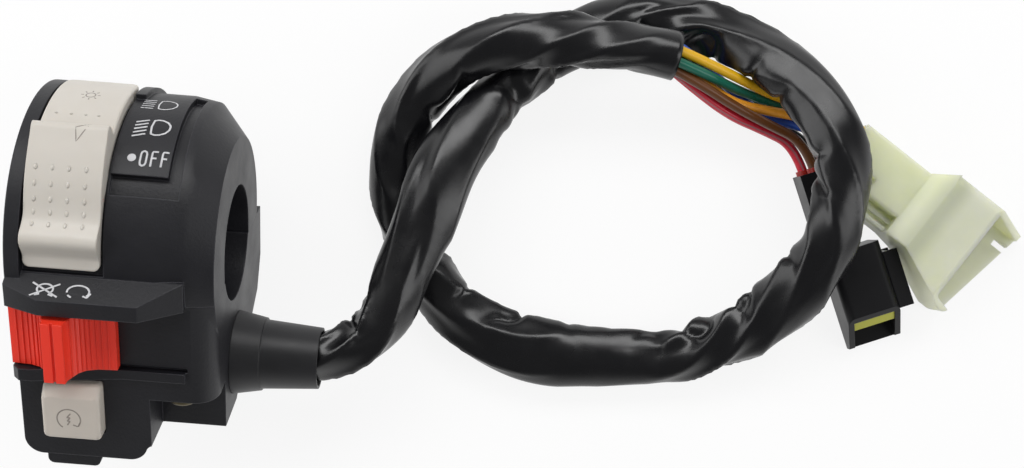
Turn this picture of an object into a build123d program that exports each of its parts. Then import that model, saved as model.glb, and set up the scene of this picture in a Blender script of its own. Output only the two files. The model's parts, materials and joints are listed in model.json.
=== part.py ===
from build123d import *
import math
import os

os.makedirs("parts", exist_ok=True)

# Handlebar switch cluster, sizes in millimetres.
# X runs along the handlebar towards the cable, Y up the switch face, Z out towards the rider.
# The origin is on the handlebar's axis, at half the housing's width.
# The switch body is drawn with its parting face level: names ending in up are measured across
# that face, and names ending in t out of the front. The body is then turned about the handlebar
# by switch_tilt. Insets are measured from the housing's left face.

# Handlebar and housing
switch_tilt = 26.0
bar_d = 22.2
body_width = 36.0
wall = 2.2
bar_wall = 1.7
parting_up = -3.2
drum_up = 1.6
drum_t = -2.45
drum_r = 24.6
drum_shoulder_x = 8.2
shoulder_r = 23.8
cone_x = 12.8
cone_end_r = 19.9
cone_end_up = 0.4
cone_end_t = 0.0
front_corner_round = 4.4
rim_r = 25.7
rim_width = 2.6
overrun = 5.0
slip = 0.05
seat_gap = 0.1
sliding_gap = 0.3

# Lever track, label pad and pocket
track_r = 23.7
track_inset = 17.1
track_low_deg = 2.0
top_rib_width = 1.9
top_rib_r = 25.6
pad_width = 10.1
pocket_width = 2.2
pocket_depth = 1.4
pocket_low_deg = 36.5
pad_low_deg = 45.5
pocket_high_deg = 103.0

# Shelf over the stop slider
shelf_t = 26.9
shelf_end_t = 24.4
shelf_foot_up = 2.2
shelf_foot_t = 22.0
shelf_ridge_up = -0.5
shelf_low_up = -3.5
shelf_left_run = 6.6
shelf_flat_right = 6.0
shelf_right = 13.0
front_t = 20.4

# Lower block
block_low_up = -33.6
button_block_low_up = -37.0
button_block_inset = 23.0
button_block_back_t = 4.0
block_low_back_t = 2.0
block_heel_up = -25.5
block_heel_t = -10.0
block_back_up = -20.5
block_back_t = -19.8
block_rear_up = -14.0
block_rear_t = -23.3
corner_round = 4.0
side_round = 1.2
foot_inset = 3.6
foot_width = 9.6
foot_slant = 1.0
foot_drop = 3.1
foot_t = 12.0
foot_thick = 7.0
ledge_up = -16.6
ledge_thick = 2.4
ledge_t = 24.0
ledge_right = 12.6
ledge_right_t = 21.1
groove_right = 13.0
groove_width = 0.9
groove_depth = 1.0
step_up = -23.5
step_left = 5.8
step_round = 1.6
step_gap = 0.3

# Clamp screws, M4, driven in from below
screw_r = 1.98
screw_head_r = 2.9
screw_head_h = 2.3
screw_well_r = 3.3
screw_socket_r = 1.2
screw_socket_depth = 1.4
boss_r = 3.4
front_screw_inset = 7.1
front_screw_t = 15.6
rear_screw_inset = 24.0
rear_screw_t = -17.5
rear_seat_up = -17.0
boss_rise = 9.0
insert_r = 2.7
insert_length = 6.0
web_thick = 2.0

# Light lever and its carrier
lever_steps_deg = 35.0
lever_gap = 0.15
lever_sheet = 2.3
lever_rise = 3.2
lever_low_deg = 4.6
lever_high_deg = 104.0
lever_end_round = 1.8
lever_toe_round = 1.2
lever_side_gap = 0.5
lever_edge_round = 0.5
stem_deg = 62.0
stem_half_deg = 4.0
stem_inset = 7.6
stem_width = 4.8
stem_tip_r = 19.5
carrier_low_deg = 46.0
carrier_high_deg = 78.0
carrier_r = 19.2
carrier_inset = 15.1
lug_r = 14.8
lug_width = 4.0
contact_low_deg = 34.0
contact_high_deg = 107.0
contact_plate_r = 16.3
contact_plate_thick = 1.3
contact_left_inset = 7.1
contact_right_inset = 19.5
track_thick = 0.3
track_width = 1.4
track_edge = 1.2
track_pitch = 2.7
bridge_thick = 0.5
rib_deg = 2.4
ledge_deg = 4.0
low_rib_r = 13.0
high_rib_r = 9.6
ball_r = 1.25
notch_depth = 0.3
detent_spring_r = 0.85
detent_wire_r = 0.2
detent_pitch = 0.8

# Stop slider and its carrier
slider_overhang = 0.2
slider_length = 19.0
slider_high_up = -4.4
slider_low_up = -16.3
slider_travel = 5.0
slider_base = 1.8
fin_width = 3.8
fin_height = 5.9
fin_groove = 0.5
slider_stem_inset = 8.1
slider_stem_width = 3.2
slider_stem_high_up = -8.0
slider_stem_low_up = -12.4
stop_carrier_inset = 4.4
stop_carrier_width = 9.1
stop_carrier_high_up = -6.9
stop_carrier_low_up = -13.6
stop_carrier_t = 14.9
stop_carrier_thick = 3.0
stop_plate_inset = 4.0
stop_plate_gap = 0.4
stop_plate_high_up = -6.6
stop_plate_low_up = -13.9
stop_plate_t = 12.4
stop_plate_thick = 1.2
stop_pad_thick = 0.3
stop_pad_width = 2.2
stop_rib_width = 1.4
stop_rib_high_up = -8.0
stop_rib_low_up = -12.0
stop_rib_t = 6.0
stop_ball_inset = 6.3
stop_wall_up = -14.35
stop_wall_thick = 1.6
stop_wall_t = 14.2

# Start button
button_inset = 4.7
button_width = 10.6
button_low_up = -31.3
button_height = 11.0
button_t = 23.6
button_gap = 0.12
button_bevel = 1.6
button_round = 0.7
flange_width = 0.8
flange_thick = 1.2
button_travel = 1.8
plunger_r = 1.9
start_plate_t = 7.6
start_plate_thick = 1.4
start_plate_inset = 17.6
start_rib_width = 1.4
start_rib_drop = 1.8
contact_bar_half = 5.7
contact_bar_width = 2.8
contact_bar_thick = 0.6
post_offset = 4.9
post_r = 0.9
return_spring_r = 2.8
return_wire_r = 0.3
return_pitch = 1.45

# Cable boot
boot_y = -21.5
boot_z = -9.0
boot_bore_r = 3.8
boot_neck_r = 4.8
boot_flange_r = 5.7
boot_flange_thick = 1.6
boot_flare_r = 8.2
boot_waist_r = 6.8
boot_mouth_r = 6.0
boot_mouth_flare = 0.45
boot_flare_length = 6.5
boot_length = 16.5
boot_step_length = 5.5
boot_ring_height = 0.35
boot_ring_length = 1.0
tie_width = 2.0
tie_thick = 1.0
tie_head = 3.2

# Harness
sleeve_d = 10.0
sleeve_wall = 0.6
sleeve_open = 4.5
wire_d = 2.0
table_z = -27.2
arc_share = 0.45

# Large connector, from its mouth's upper corner
large_x = 171.5
large_y = 15.4
large_turn = -33.9
hood_length = 16.0
hood_height = 14.0
hood_wall = 1.4
hood_narrow = 18.2
hood_wide = 23.2
hood_flare = 12.0
hood_lip = 3.7
hood_lip_slant = 3.7
hood_top_back = 6.0
hood_corner_round = 2.4
shoulder_length = 4.5
tail_inset = 3.0
tail_width = 15.0
tail_height = 9.0
tail_lift = 2.5
tail_length = 8.0
tail_low_height = 5.6
deck_width = 11.4
deck_round = 0.8
rear_width = 8.2
rear_length = 8.0
tail_rib = 0.9
hood_notch_in = 3.4
hood_notch = 1.4
hood_notch_depth = 3.6
hood_round = 2.0
pin_width = 2.2
pin_thick = 0.8
pin_length = 10.0
pin_columns = 3
pin_rows = 2
pin_pitch = 4.2
pin_row_pitch = 4.4

# Small connector, from its rear corner
small_x = 127.2
small_y = 21.9
small_turn = -67.8
small_tail_length = 17.0
small_tail_width = 7.0
small_tail_height = 8.0
small_length = 30.7
small_width = 11.0
small_height = 10.0
small_wall = 1.2
small_lip = 6.6
small_mouth_depth = 13.0
small_round = 1.6
rail_setback = 2.6
rail_length = 11.8
rail_width = 2.9
rail_wall = 1.2
rail_low = 1.2
rail_high = 9.2
seal_reach = 2.7
seal_length = 4.0
seal_wall = 1.0
seal_roof = 2.4
socket_width = 2.4
socket_height = 2.4
socket_length = 6.0
wire_seal_r = 1.45
wire_seal_length = 3.0
wire_seal_proud = 0.9
small_wire_across = 1.7
small_wire_low = 2.9
small_wire_high = 5.9
large_wire_across = 2.6
large_wire_low = 2.8
large_wire_high = 6.2
large_lead = 5.0
small_lead = 6.3

# Worked-out sizes
left_x = -body_width / 2
right_x = body_width / 2
bar_r = bar_d / 2
bar_tube_r = bar_r + bar_wall
inner_left = left_x + wall
inner_right = right_x - wall
drum_inner_r = track_r - 1.8 / 2.2 * wall
front_inner_t = front_t - wall
far = 3 * body_width
track_left = left_x + rim_width
track_right = left_x + track_inset
button_block_right = left_x + button_block_inset
foot_left = left_x + foot_inset
front_screw_x = right_x - front_screw_inset
rear_screw_x = left_x + rear_screw_inset
step_t = front_screw_t - screw_well_r - step_gap
stem_left = left_x + stem_inset
carrier_right = left_x + carrier_inset
contact_left = left_x + contact_left_inset
contact_right = left_x + contact_right_inset
slider_left = left_x - slider_overhang
slider_stem_left = left_x + slider_stem_inset
stop_carrier_left = left_x + stop_carrier_inset
stop_carrier_right = stop_carrier_left + stop_carrier_width
stop_plate_left = left_x + stop_plate_inset
stop_plate_right = step_left - stop_plate_gap
stop_ball_x = left_x + stop_ball_inset
button_left = left_x + button_inset
start_plate_right = left_x + start_plate_inset


def block(x0, x1, n0, n1, t0, t1):
    solid = Box(x1 - x0, n1 - n0, t1 - t0)
    return Pos((x0 + x1) / 2, (n0 + n1) / 2, (t0 + t1) / 2) * solid


def rod_x(radius, x0, x1, n, t):
    return Pos((x0 + x1) / 2, n, t) * Rot(0, 90, 0) * Cylinder(radius, x1 - x0)


def rod_n(radius, n0, n1, x, t):
    return Pos(x, (n0 + n1) / 2, t) * Rot(90, 0, 0) * Cylinder(radius, n1 - n0)


def rod_t(radius, t0, t1, x, n):
    return Pos(x, n, (t0 + t1) / 2) * Cylinder(radius, t1 - t0)


def prism_x(points, x0, x1):
    corners = [(x0, n, t) for n, t in points]
    face = make_face(Polyline(corners, close=True))
    return extrude(face, amount=x1 - x0, dir=(1, 0, 0))


def prism_n(points, n0, n1):
    corners = [(x, n0, t) for x, t in points]
    face = make_face(Polyline(corners, close=True))
    return extrude(face, amount=n1 - n0, dir=(0, 1, 0))


def drum_point(radius, degrees, x=0):
    angle = math.radians(degrees)
    return (x, drum_up + radius * math.sin(angle), drum_t + radius * math.cos(angle))


def arc_block(r_in, r_out, deg0, deg1, x0, x1):
    mid = (deg0 + deg1) / 2
    low_out, high_out = drum_point(r_out, deg0, x0), drum_point(r_out, deg1, x0)
    low_in, high_in = drum_point(r_in, deg0, x0), drum_point(r_in, deg1, x0)
    outer = ThreePointArc(low_out, drum_point(r_out, mid, x0), high_out)
    inner = ThreePointArc(high_in, drum_point(r_in, mid, x0), low_in)
    side1 = Line(high_out, high_in)
    side0 = Line(low_in, low_out)
    face = make_face(Curve() + [outer, side1, inner, side0])
    return extrude(face, amount=x1 - x0, dir=(1, 0, 0))


def drum_rod(radius, r0, r1, degrees, x):
    turned = Pos(x, drum_up, drum_t) * Rot(-degrees, 0, 0)
    return turned * Pos(0, 0, (r0 + r1) / 2) * Cylinder(radius, r1 - r0)


def helix_spring(length, pitch, coil_r, wire_r):
    path = Helix(pitch=pitch, height=length - 2 * wire_r, radius=coil_r)
    section = Plane(path @ 0, z_dir=path % 0) * RegularPolygon(wire_r, 6)
    return Pos(0, 0, wire_r) * sweep(section, path=path, is_frenet=True)


def tilt(shape):
    return Rot(switch_tilt, 0, 0) * shape


def turn_radius(before, corner, after):
    first = Vector(*corner) - Vector(*before)
    second = Vector(*after) - Vector(*corner)
    half_turn = math.radians(first.get_angle(second) / 2)
    return arc_share * min(first.length, second.length) / math.tan(half_turn)


def cord_tube(name, points, diameter, bore=0, bore_from=0):
    radii = [turn_radius(*points[i - 1:i + 2]) for i in range(1, len(points) - 1)]
    path = FilletPolyline(points, radius=radii)
    start = Plane(path @ 0, z_dir=path % 0)
    tube = sweep(start * Circle(diameter / 2), path=path)
    area = math.pi * diameter ** 2 / 4
    print(name, "length", round(path.length, 1), "radii", [round(r, 1) for r in radii])
    print(name, "volume ratio", round(tube.volume / (area * path.length), 4))
    return tube, path


# Drum of both halves
def circle_x(radius, x, up, t):
    return Plane((x, up, t), x_dir=(0, 1, 0), z_dir=(1, 0, 0)) * Circle(radius)


def end_cone(x, inset=0):
    """The drum's outline at x, on the cone from its shoulder to the end face, less an inset."""
    share = (x - cone_x) / (right_x - cone_x)
    radius = shoulder_r + share * (cone_end_r - shoulder_r) - inset
    centre_up = drum_up + share * (cone_end_up - drum_up)
    centre_t = drum_t + share * (cone_end_t - drum_t)
    return circle_x(radius, x, centre_up, centre_t)


drum = rod_x(drum_r, left_x, drum_shoulder_x, drum_up, drum_t)
drum = drum + loft([circle_x(drum_r, drum_shoulder_x, drum_up, drum_t), end_cone(cone_x)], ruled=True)
drum = drum + loft([end_cone(cone_x), end_cone(right_x)], ruled=True)
drum = drum + rod_x(rim_r, left_x, track_left, drum_up, drum_t)
hollow_shoulder_x = cone_x - wall / 2
drum_hollow = rod_x(drum_inner_r, inner_left, hollow_shoulder_x, drum_up, drum_t)
drum_hollow = drum_hollow + loft([circle_x(drum_inner_r, hollow_shoulder_x, drum_up, drum_t),
                                  end_cone(inner_right, wall * 1.2)], ruled=True)
bar_tube = rod_x(bar_tube_r, left_x, right_x, 0, 0)
bar_hole = rod_x(bar_r, left_x - overrun, right_x + overrun, 0, 0)
above = block(-far, far, parting_up, far, -far, far)
below = block(-far, far, -far, parting_up, -far, far)

# Upper housing
track = arc_block(track_r, rim_r + overrun, track_low_deg, 180 - track_low_deg, track_left, track_right)
rib_right = track_right + top_rib_width
top_rib = arc_block(track_r, top_rib_r, 92, 180 - track_low_deg, track_right, rib_right)
pocket_left = track_right - overrun
pad_left = track_right - slip
pad_right = track_right + pad_width
pocket_right = pad_right + pocket_width
pocket_r = drum_r - pocket_depth
pocket_low = arc_block(pocket_r, rim_r, pocket_low_deg, pad_low_deg, track_right, pocket_right)
pocket_side = arc_block(pocket_r, rim_r, pocket_low_deg, pocket_high_deg, pad_right, pocket_right)
shelf_section = [
    (shelf_foot_up, shelf_foot_t - overrun),
    (shelf_foot_up, shelf_foot_t),
    (shelf_ridge_up, shelf_t),
    (shelf_low_up, shelf_t),
    (shelf_low_up, front_t + sliding_gap),
    (parting_up, front_t + sliding_gap),
    (parting_up, shelf_foot_t - overrun),
]
shelf_plan = [
    (left_x, shelf_foot_t - overrun),
    (left_x, shelf_end_t),
    (left_x + shelf_left_run, shelf_t),
    (shelf_flat_right, shelf_t),
    (shelf_right, drum_t + drum_r - seat_gap),
    (shelf_right, shelf_foot_t - overrun),
]
shelf = prism_x(shelf_section, left_x, right_x) & prism_n(shelf_plan, shelf_low_up, shelf_foot_up)
upper = (drum & above) - track - pocket_low - pocket_side + top_rib
upper = upper - (drum_hollow & above) + (bar_tube & above) + shelf

# Bosses and ribs inside the upper housing
insert_low_up = parting_up
insert_high_up = parting_up + insert_length
boss_top_up = parting_up + boss_rise
front_boss = rod_n(boss_r, parting_up, boss_top_up, front_screw_x, front_screw_t)
front_web = block(front_screw_x, inner_right + seat_gap, parting_up, boss_top_up,
                  front_screw_t - web_thick / 2, front_screw_t + web_thick / 2)
rear_boss = rod_n(boss_r, parting_up, boss_top_up, rear_screw_x, rear_screw_t)
rear_web = block(rear_screw_x - web_thick / 2, rear_screw_x + web_thick / 2, parting_up, boss_top_up,
                 drum_t - drum_inner_r - seat_gap, rear_screw_t) & drum
low_rib = arc_block(low_rib_r, contact_plate_r + contact_plate_thick, contact_low_deg - rib_deg,
                    contact_low_deg, contact_left, contact_right)
low_ledge = arc_block(low_rib_r, contact_plate_r, contact_low_deg, contact_low_deg + ledge_deg,
                      contact_left, contact_right)
high_rib = arc_block(high_rib_r, contact_plate_r + contact_plate_thick, contact_high_deg,
                     contact_high_deg + rib_deg, contact_left, contact_right)
high_ledge = arc_block(high_rib_r, contact_plate_r, contact_high_deg - ledge_deg, contact_high_deg,
                       contact_left, contact_right)
upper = upper + front_boss + front_web + rear_boss + rear_web
upper = upper + low_rib + low_ledge + high_rib + high_ledge
insert_x = (front_screw_x, rear_screw_x)
insert_t = (front_screw_t, rear_screw_t)
for x, t in zip(insert_x, insert_t):
    upper = upper - rod_n(insert_r, parting_up - overrun, insert_high_up, x, t)
    upper = upper - rod_n(screw_r + slip, parting_up, boss_top_up + overrun, x, t)

# Slot for the lever's stem, and the three notches of its detent
slot_high_deg = stem_deg + stem_half_deg + lever_steps_deg + 0.6
slot_right = stem_left + stem_width + seat_gap
stem_slot = arc_block(drum_inner_r - overrun / 5, track_r + overrun, stem_deg - stem_half_deg - 0.6,
                      slot_high_deg, stem_left - seat_gap, slot_right)
upper = upper - stem_slot
lug_left = inner_left + seat_gap * 2
light_ball_x = lug_left + lug_width / 2
light_ball_r = drum_inner_r - seat_gap - ball_r
for step_share in (0, 0.5, 1):
    notch_at = drum_point(light_ball_r + notch_depth, stem_deg + step_share * lever_steps_deg, light_ball_x)
    upper = upper - Pos(*notch_at) * Sphere(ball_r + slip)
bar_relief = block(left_x - overrun, right_x + overrun, parting_up - overrun, 0, -bar_r, bar_r)
upper = (upper - bar_hole - bar_relief).clean()

# Lower housing
block_section = [
    (parting_up, front_t),
    (block_low_up, front_t),
    (block_low_up, block_low_back_t),
    (block_heel_up, block_heel_t),
    (block_back_up, block_back_t),
    (block_rear_up, block_rear_t),
    (parting_up, block_rear_t),
]
lower_block = prism_x(block_section, left_x, right_x)
front_right = lower_block.edges().filter_by(Axis.Y).sort_by(Axis.Z)[-2:].sort_by(Axis.X)[-1]
lower_block = fillet(front_right, front_corner_round)
button_block = block(left_x, button_block_right, button_block_low_up, block_low_up + 2 * wall,
                     button_block_back_t, front_t)
button_corners = button_block.edges().filter_by(Axis.Z).group_by(Axis.Y)[0]
button_block = fillet(button_corners, corner_round * 0.85)
foot_low_up = button_block_low_up - foot_drop
foot_corners = [
    (foot_left, button_block_low_up),
    (foot_left, foot_low_up),
    (foot_left + foot_width, foot_low_up),
    (foot_left + foot_width + foot_slant, button_block_low_up),
]
foot_face = make_face(Polyline([(x, up, foot_t) for x, up in foot_corners], close=True))
foot = extrude(foot_face, amount=foot_thick, dir=(0, 0, 1))
foot = fillet(foot.edges().filter_by(Axis.Z).group_by(Axis.Y)[0], side_round)
ledge_plan = [
    (left_x, front_inner_t),
    (left_x, ledge_t - side_round),
    (left_x + side_round, ledge_t),
    (left_x + 3 * side_round, ledge_t),
    (button_block_right - corner_round, ledge_right_t),
    (ledge_right, ledge_right_t),
    (ledge_right, front_t),
    (ledge_right, front_inner_t),
]
ledge = prism_n(ledge_plan, ledge_up - ledge_thick, ledge_up)
behind_front = block(-far, far, -far, parting_up, -far, front_t)
outer = lower_block + button_block + foot + ledge + (drum & behind_front)
step_cut = block(step_left, right_x + overrun, block_low_up - overrun, step_up, step_t, front_t + overrun)
outer = outer - step_cut
step_corner = outer.edges().filter_by(Axis.Z).sort_by_distance((button_block_right, block_low_up, 0))[0]
outer = fillet(step_corner, step_round)

hollow_section = [
    (parting_up + overrun, front_inner_t),
    (block_low_up + wall, front_inner_t),
    (block_low_up + wall, block_low_back_t + wall / 2),
    (block_heel_up + wall * 0.85, block_heel_t + wall * 0.7),
    (block_back_up + wall * 0.85, block_back_t + wall * 0.9),
    (block_rear_up, block_rear_t + wall),
    (parting_up + overrun, block_rear_t + wall),
]
hollow = prism_x(hollow_section, inner_left, inner_right) & below
button_hollow = block(inner_left, button_block_right - wall, button_block_low_up + wall,
                      block_low_up + 2 * wall, button_block_back_t + wall, front_inner_t)
hollow = hollow + button_hollow + (drum_hollow & below)
step_wall = block(step_left - wall, right_x, block_low_up, step_up + wall,
                  step_t - wall, front_t)
hollow = hollow - step_wall
lower = outer - hollow + (bar_tube & below)

# Screw columns, slots and ribs of the lower housing
front_column = rod_n(boss_r, step_up, parting_up, front_screw_x, front_screw_t)
rear_column = rod_n(boss_r, rear_seat_up, parting_up, rear_screw_x, rear_screw_t)
rear_cup = rod_n(screw_well_r + wall / 2, block_back_up - wall, rear_seat_up + wall,
                 rear_screw_x, rear_screw_t)
rear_brace = block(rear_screw_x - web_thick / 2, rear_screw_x + web_thick / 2, rear_seat_up, parting_up,
                   block_rear_t, rear_screw_t)
lower = lower + (front_column & outer) + rear_column + (rear_cup & outer) + (rear_brace & outer)
screw_hole_r = screw_r + 2 * slip
lower = lower - rod_n(screw_hole_r, step_up - overrun, parting_up + overrun, front_screw_x, front_screw_t)
lower = lower - rod_n(screw_hole_r, rear_seat_up - overrun, parting_up + overrun, rear_screw_x, rear_screw_t)
lower = lower - rod_n(screw_well_r, block_low_up - overrun, step_up, front_screw_x, front_screw_t)
lower = lower - rod_n(screw_well_r, block_low_up, rear_seat_up, rear_screw_x, rear_screw_t)
slider_slot_right = slider_stem_left + slider_stem_width + slider_travel + seat_gap
slider_slot = block(slider_stem_left - seat_gap, slider_slot_right, slider_stem_low_up - seat_gap,
                    slider_stem_high_up + seat_gap, front_inner_t - overrun / 5, front_t + overrun)
groove = block(track_right, groove_right, ledge_up - groove_width / 2, ledge_up + groove_width / 2,
               front_t - groove_depth, front_t + groove_depth)
button_right = button_left + button_width
button_high_up = button_low_up + button_height
button_well = block(button_left - button_gap, button_right + button_gap, button_low_up - button_gap,
                    button_high_up + button_gap, front_inner_t - overrun / 5, front_t + overrun)
stop_ribs = []
for x in (stop_plate_left, stop_plate_right - stop_rib_width):
    stop_ribs.append(block(x, x + stop_rib_width, stop_rib_low_up, stop_rib_high_up,
                           stop_rib_t, stop_plate_t))
stop_wall = block(stop_plate_left, stop_plate_right - stop_rib_width, stop_wall_up - stop_wall_thick,
                  stop_wall_up, stop_wall_t, front_inner_t + seat_gap)
start_ribs = []
for x in (inner_left - seat_gap, start_plate_right - start_rib_width):
    start_ribs.append(block(x, x + start_rib_width, button_block_low_up + wall / 2, button_high_up,
                            start_plate_t - start_rib_drop, start_plate_t))
lower = lower - slider_slot - groove - button_well
for rib in stop_ribs + [stop_wall] + start_ribs:
    lower = lower + rib
for x in (stop_ball_x, stop_ball_x + slider_travel):
    notch = Pos(x, stop_wall_up + ball_r - notch_depth, stop_carrier_t + stop_carrier_thick / 2)
    lower = lower - notch * Sphere(ball_r + slip)
boot_up = boot_y * math.cos(math.radians(switch_tilt)) + boot_z * math.sin(math.radians(switch_tilt))
boot_t = boot_z * math.cos(math.radians(switch_tilt)) - boot_y * math.sin(math.radians(switch_tilt))
boot_hole = rod_x(boot_neck_r, inner_right - overrun / 5, right_x + overrun, boot_up, boot_t)
lower = (lower - boot_hole - bar_hole).clean()

# Light lever
lever_in_r = track_r + lever_gap
lever_out_r = lever_in_r + lever_sheet
lever_left = track_left + lever_side_gap
lever_right = track_right - lever_side_gap
# Angle round the drum, and the share of the rise above the sheet
thumb_shares = [
    (61.6, 0.0),
    (60.9, 0.8),
    (59.6, 0.96),
    (56.0, 0.8),
    (52.0, 0.62),
    (46.0, 0.4),
    (40.0, 0.2),
    (34.0, -0.04),
    (28.0, -0.26),
    (23.5, -0.2),
    (20.5, 0.06),
    (18.0, 0.26),
    (16.2, 0.28),
    (14.0, 0.12),
    (8.6, -0.36),
]
thumb_line = [drum_point(lever_out_r + share * lever_rise, deg, lever_left) for deg, share in thumb_shares]
low_out = drum_point(lever_in_r + lever_sheet / 2, lever_low_deg, lever_left)
low_in = drum_point(lever_in_r, lever_low_deg, lever_left)
sheet_arc = ThreePointArc(drum_point(lever_out_r, lever_high_deg, lever_left),
                          drum_point(lever_out_r, (lever_high_deg + thumb_shares[0][0]) / 2, lever_left),
                          thumb_line[0])
under_arc = ThreePointArc(low_in, drum_point(lever_in_r, (lever_low_deg + lever_high_deg) / 2, lever_left),
                          drum_point(lever_in_r, lever_high_deg, lever_left))
end_line = Line(drum_point(lever_in_r, lever_high_deg, lever_left),
                drum_point(lever_out_r, lever_high_deg, lever_left))
step_line = Line(thumb_line[0], thumb_line[1])
scoop_line = Spline(thumb_line[1:])
toe_line = Polyline([thumb_line[-1], low_out, low_in])
lever_face = make_face(Curve() + [sheet_arc, step_line, scoop_line, toe_line, under_arc, end_line])
lever = extrude(lever_face, amount=lever_right - lever_left, dir=(1, 0, 0))


def end_corners(solid, degrees):
    """The two short edges through the sheet at one end of the lever."""
    middle = drum_point(lever_in_r + lever_sheet / 3, degrees, (lever_left + lever_right) / 2)
    end_face = solid.faces().sort_by_distance(middle)[0]
    short = [edge for edge in end_face.edges() if edge.length < lever_sheet * 1.5]
    return ShapeList(short)


def sheet_edges(solid):
    """The long outer edges of the lever's curved sheet, on its two sides."""
    sides = solid.faces().group_by(Axis.X)
    both = sides[0].edges() + sides[-1].edges()
    arcs = [edge for edge in both if edge.geom_type == GeomType.CIRCLE]
    middle = drum_point(0, 0)
    chosen = []
    for edge in arcs:
        at = edge @ 0.5
        if math.hypot(at.Y - middle[1], at.Z - middle[2]) > lever_out_r - lever_edge_round:
            chosen.append(edge)
    return ShapeList(chosen)


lever = fillet(end_corners(lever, lever_high_deg), lever_end_round)
lever = fillet(end_corners(lever, lever_low_deg), lever_toe_round)
lever = fillet(sheet_edges(lever), lever_edge_round)
stem = arc_block(stem_tip_r, lever_in_r + seat_gap, stem_deg - stem_half_deg, stem_deg + stem_half_deg,
                 stem_left, stem_left + stem_width)
lever = lever + stem

# Light carrier with its detent lug
carrier_top_r = drum_inner_r - 2 * seat_gap
carrier = arc_block(carrier_r, carrier_top_r, carrier_low_deg, carrier_high_deg, lug_left, carrier_right)
lug_right = lug_left + lug_width
lug = arc_block(lug_r, carrier_top_r, stem_deg - stem_half_deg, stem_deg + stem_half_deg, lug_left, lug_right)
carrier = carrier + lug
carrier = carrier - arc_block(stem_tip_r, drum_r, stem_deg - stem_half_deg, stem_deg + stem_half_deg,
                              stem_left, stem_left + stem_width)
pocket_r0 = lug_r + web_thick / 2
carrier = carrier - drum_rod(ball_r + slip, pocket_r0, drum_r, stem_deg, light_ball_x)
light_ball = Pos(*drum_point(light_ball_r, stem_deg, light_ball_x)) * Sphere(ball_r)
light_spring_length = light_ball_r - ball_r - pocket_r0
light_spring = helix_spring(light_spring_length, detent_pitch, detent_spring_r, detent_wire_r)
light_spring = Pos(*drum_point(pocket_r0, stem_deg, light_ball_x)) * Rot(-stem_deg, 0, 0) * light_spring

# Light contacts
contact_top_r = contact_plate_r + contact_plate_thick
light_plate = arc_block(contact_plate_r, contact_top_r, contact_low_deg, contact_high_deg,
                        contact_left, contact_right)
bridge_r = carrier_r - bridge_thick
foot_low_r = contact_top_r + track_thick + slip
track_x = [contact_left + track_edge + step * track_pitch for step in range(3)]
bridge_low_deg = stem_deg - 1.5 * stem_half_deg
bridge_high_deg = stem_deg + 1.5 * stem_half_deg
light_bridge = arc_block(bridge_r, carrier_r, bridge_low_deg, bridge_high_deg,
                         track_x[0] - track_width / 2, track_x[2] + track_width / 2)
light_tracks = []
for x in track_x:
    light_tracks.append(arc_block(contact_top_r, contact_top_r + track_thick, contact_low_deg + ledge_deg,
                                  contact_high_deg - ledge_deg, x - track_width / 2, x + track_width / 2))
    light_bridge = light_bridge + arc_block(foot_low_r, bridge_r, stem_deg - stem_half_deg / 2,
                                            stem_deg + stem_half_deg / 2, x - track_width / 3,
                                            x + track_width / 3)

# Stop slider
slider_right = slider_left + slider_length
slider_low_t = front_t + 2 * seat_gap
slider_top_t = slider_low_t + slider_base
slider_mid = (slider_left + slider_right) / 2
fin_top_t = slider_top_t + fin_height
fin_half = fin_width / 2
flank_run = slider_length / 2 - fin_half
# Share of the flank's run away from the fin, and share of the fin's height
flank_shares = [(0.0, 0.82), (0.06, 0.6), (0.15, 0.34), (0.3, 0.15), (0.55, 0.04), (1.0, 0.0)]
right_flank = [(slider_mid + fin_half + run * flank_run, slider_top_t + rise * fin_height)
               for run, rise in flank_shares]
left_flank = [(2 * slider_mid - x, t) for x, t in reversed(right_flank)]
slider_outline = [(slider_left, slider_low_t)] + left_flank
slider_outline += [(slider_mid - fin_half, fin_top_t), (slider_mid + fin_half, fin_top_t)]
slider_outline += right_flank + [(slider_right, slider_low_t)]
slider = prism_n(slider_outline, slider_low_up, slider_high_up)
slider = slider - block(slider_mid - fin_groove / 2, slider_mid + fin_groove / 2, slider_low_up - overrun,
                        slider_high_up + overrun, fin_top_t - fin_groove, fin_top_t + overrun)
slider_stem_right = slider_stem_left + slider_stem_width
stop_carrier_top = stop_carrier_t + stop_carrier_thick
stem_foot_t = stop_carrier_t + stop_carrier_thick / 4
slider = slider + block(slider_stem_left, slider_stem_right, slider_stem_low_up, slider_stem_high_up,
                        stem_foot_t, slider_low_t + seat_gap)

# Stop carrier, contacts and detent
stop_carrier = block(stop_carrier_left, stop_carrier_right, stop_carrier_low_up, stop_carrier_high_up,
                     stop_carrier_t, stop_carrier_top)
stop_carrier = stop_carrier - block(slider_stem_left, slider_stem_right, slider_stem_low_up,
                                    slider_stem_high_up, stem_foot_t, stop_carrier_top + overrun)
stop_mid_t = stop_carrier_t + stop_carrier_thick / 2
stop_ball_up = stop_wall_up + ball_r + seat_gap
stop_pocket_up = stop_carrier_high_up - web_thick / 2
stop_carrier = stop_carrier - rod_n(ball_r + slip, stop_carrier_low_up - overrun, stop_pocket_up,
                                    stop_ball_x, stop_mid_t)
stop_ball = Pos(stop_ball_x, stop_ball_up, stop_mid_t) * Sphere(ball_r)
stop_spring_length = stop_pocket_up - stop_ball_up - ball_r
stop_spring = helix_spring(stop_spring_length, detent_pitch, detent_spring_r, detent_wire_r)
stop_spring = Pos(stop_ball_x, stop_pocket_up, stop_mid_t) * Rot(90, 0, 0) * stop_spring
stop_plate_top = stop_plate_t + stop_plate_thick
stop_plate = block(stop_plate_left, stop_plate_right, stop_plate_low_up, stop_plate_high_up,
                   stop_plate_t, stop_plate_top)
stop_mid_up = (slider_stem_low_up + slider_stem_high_up) / 2
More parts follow.
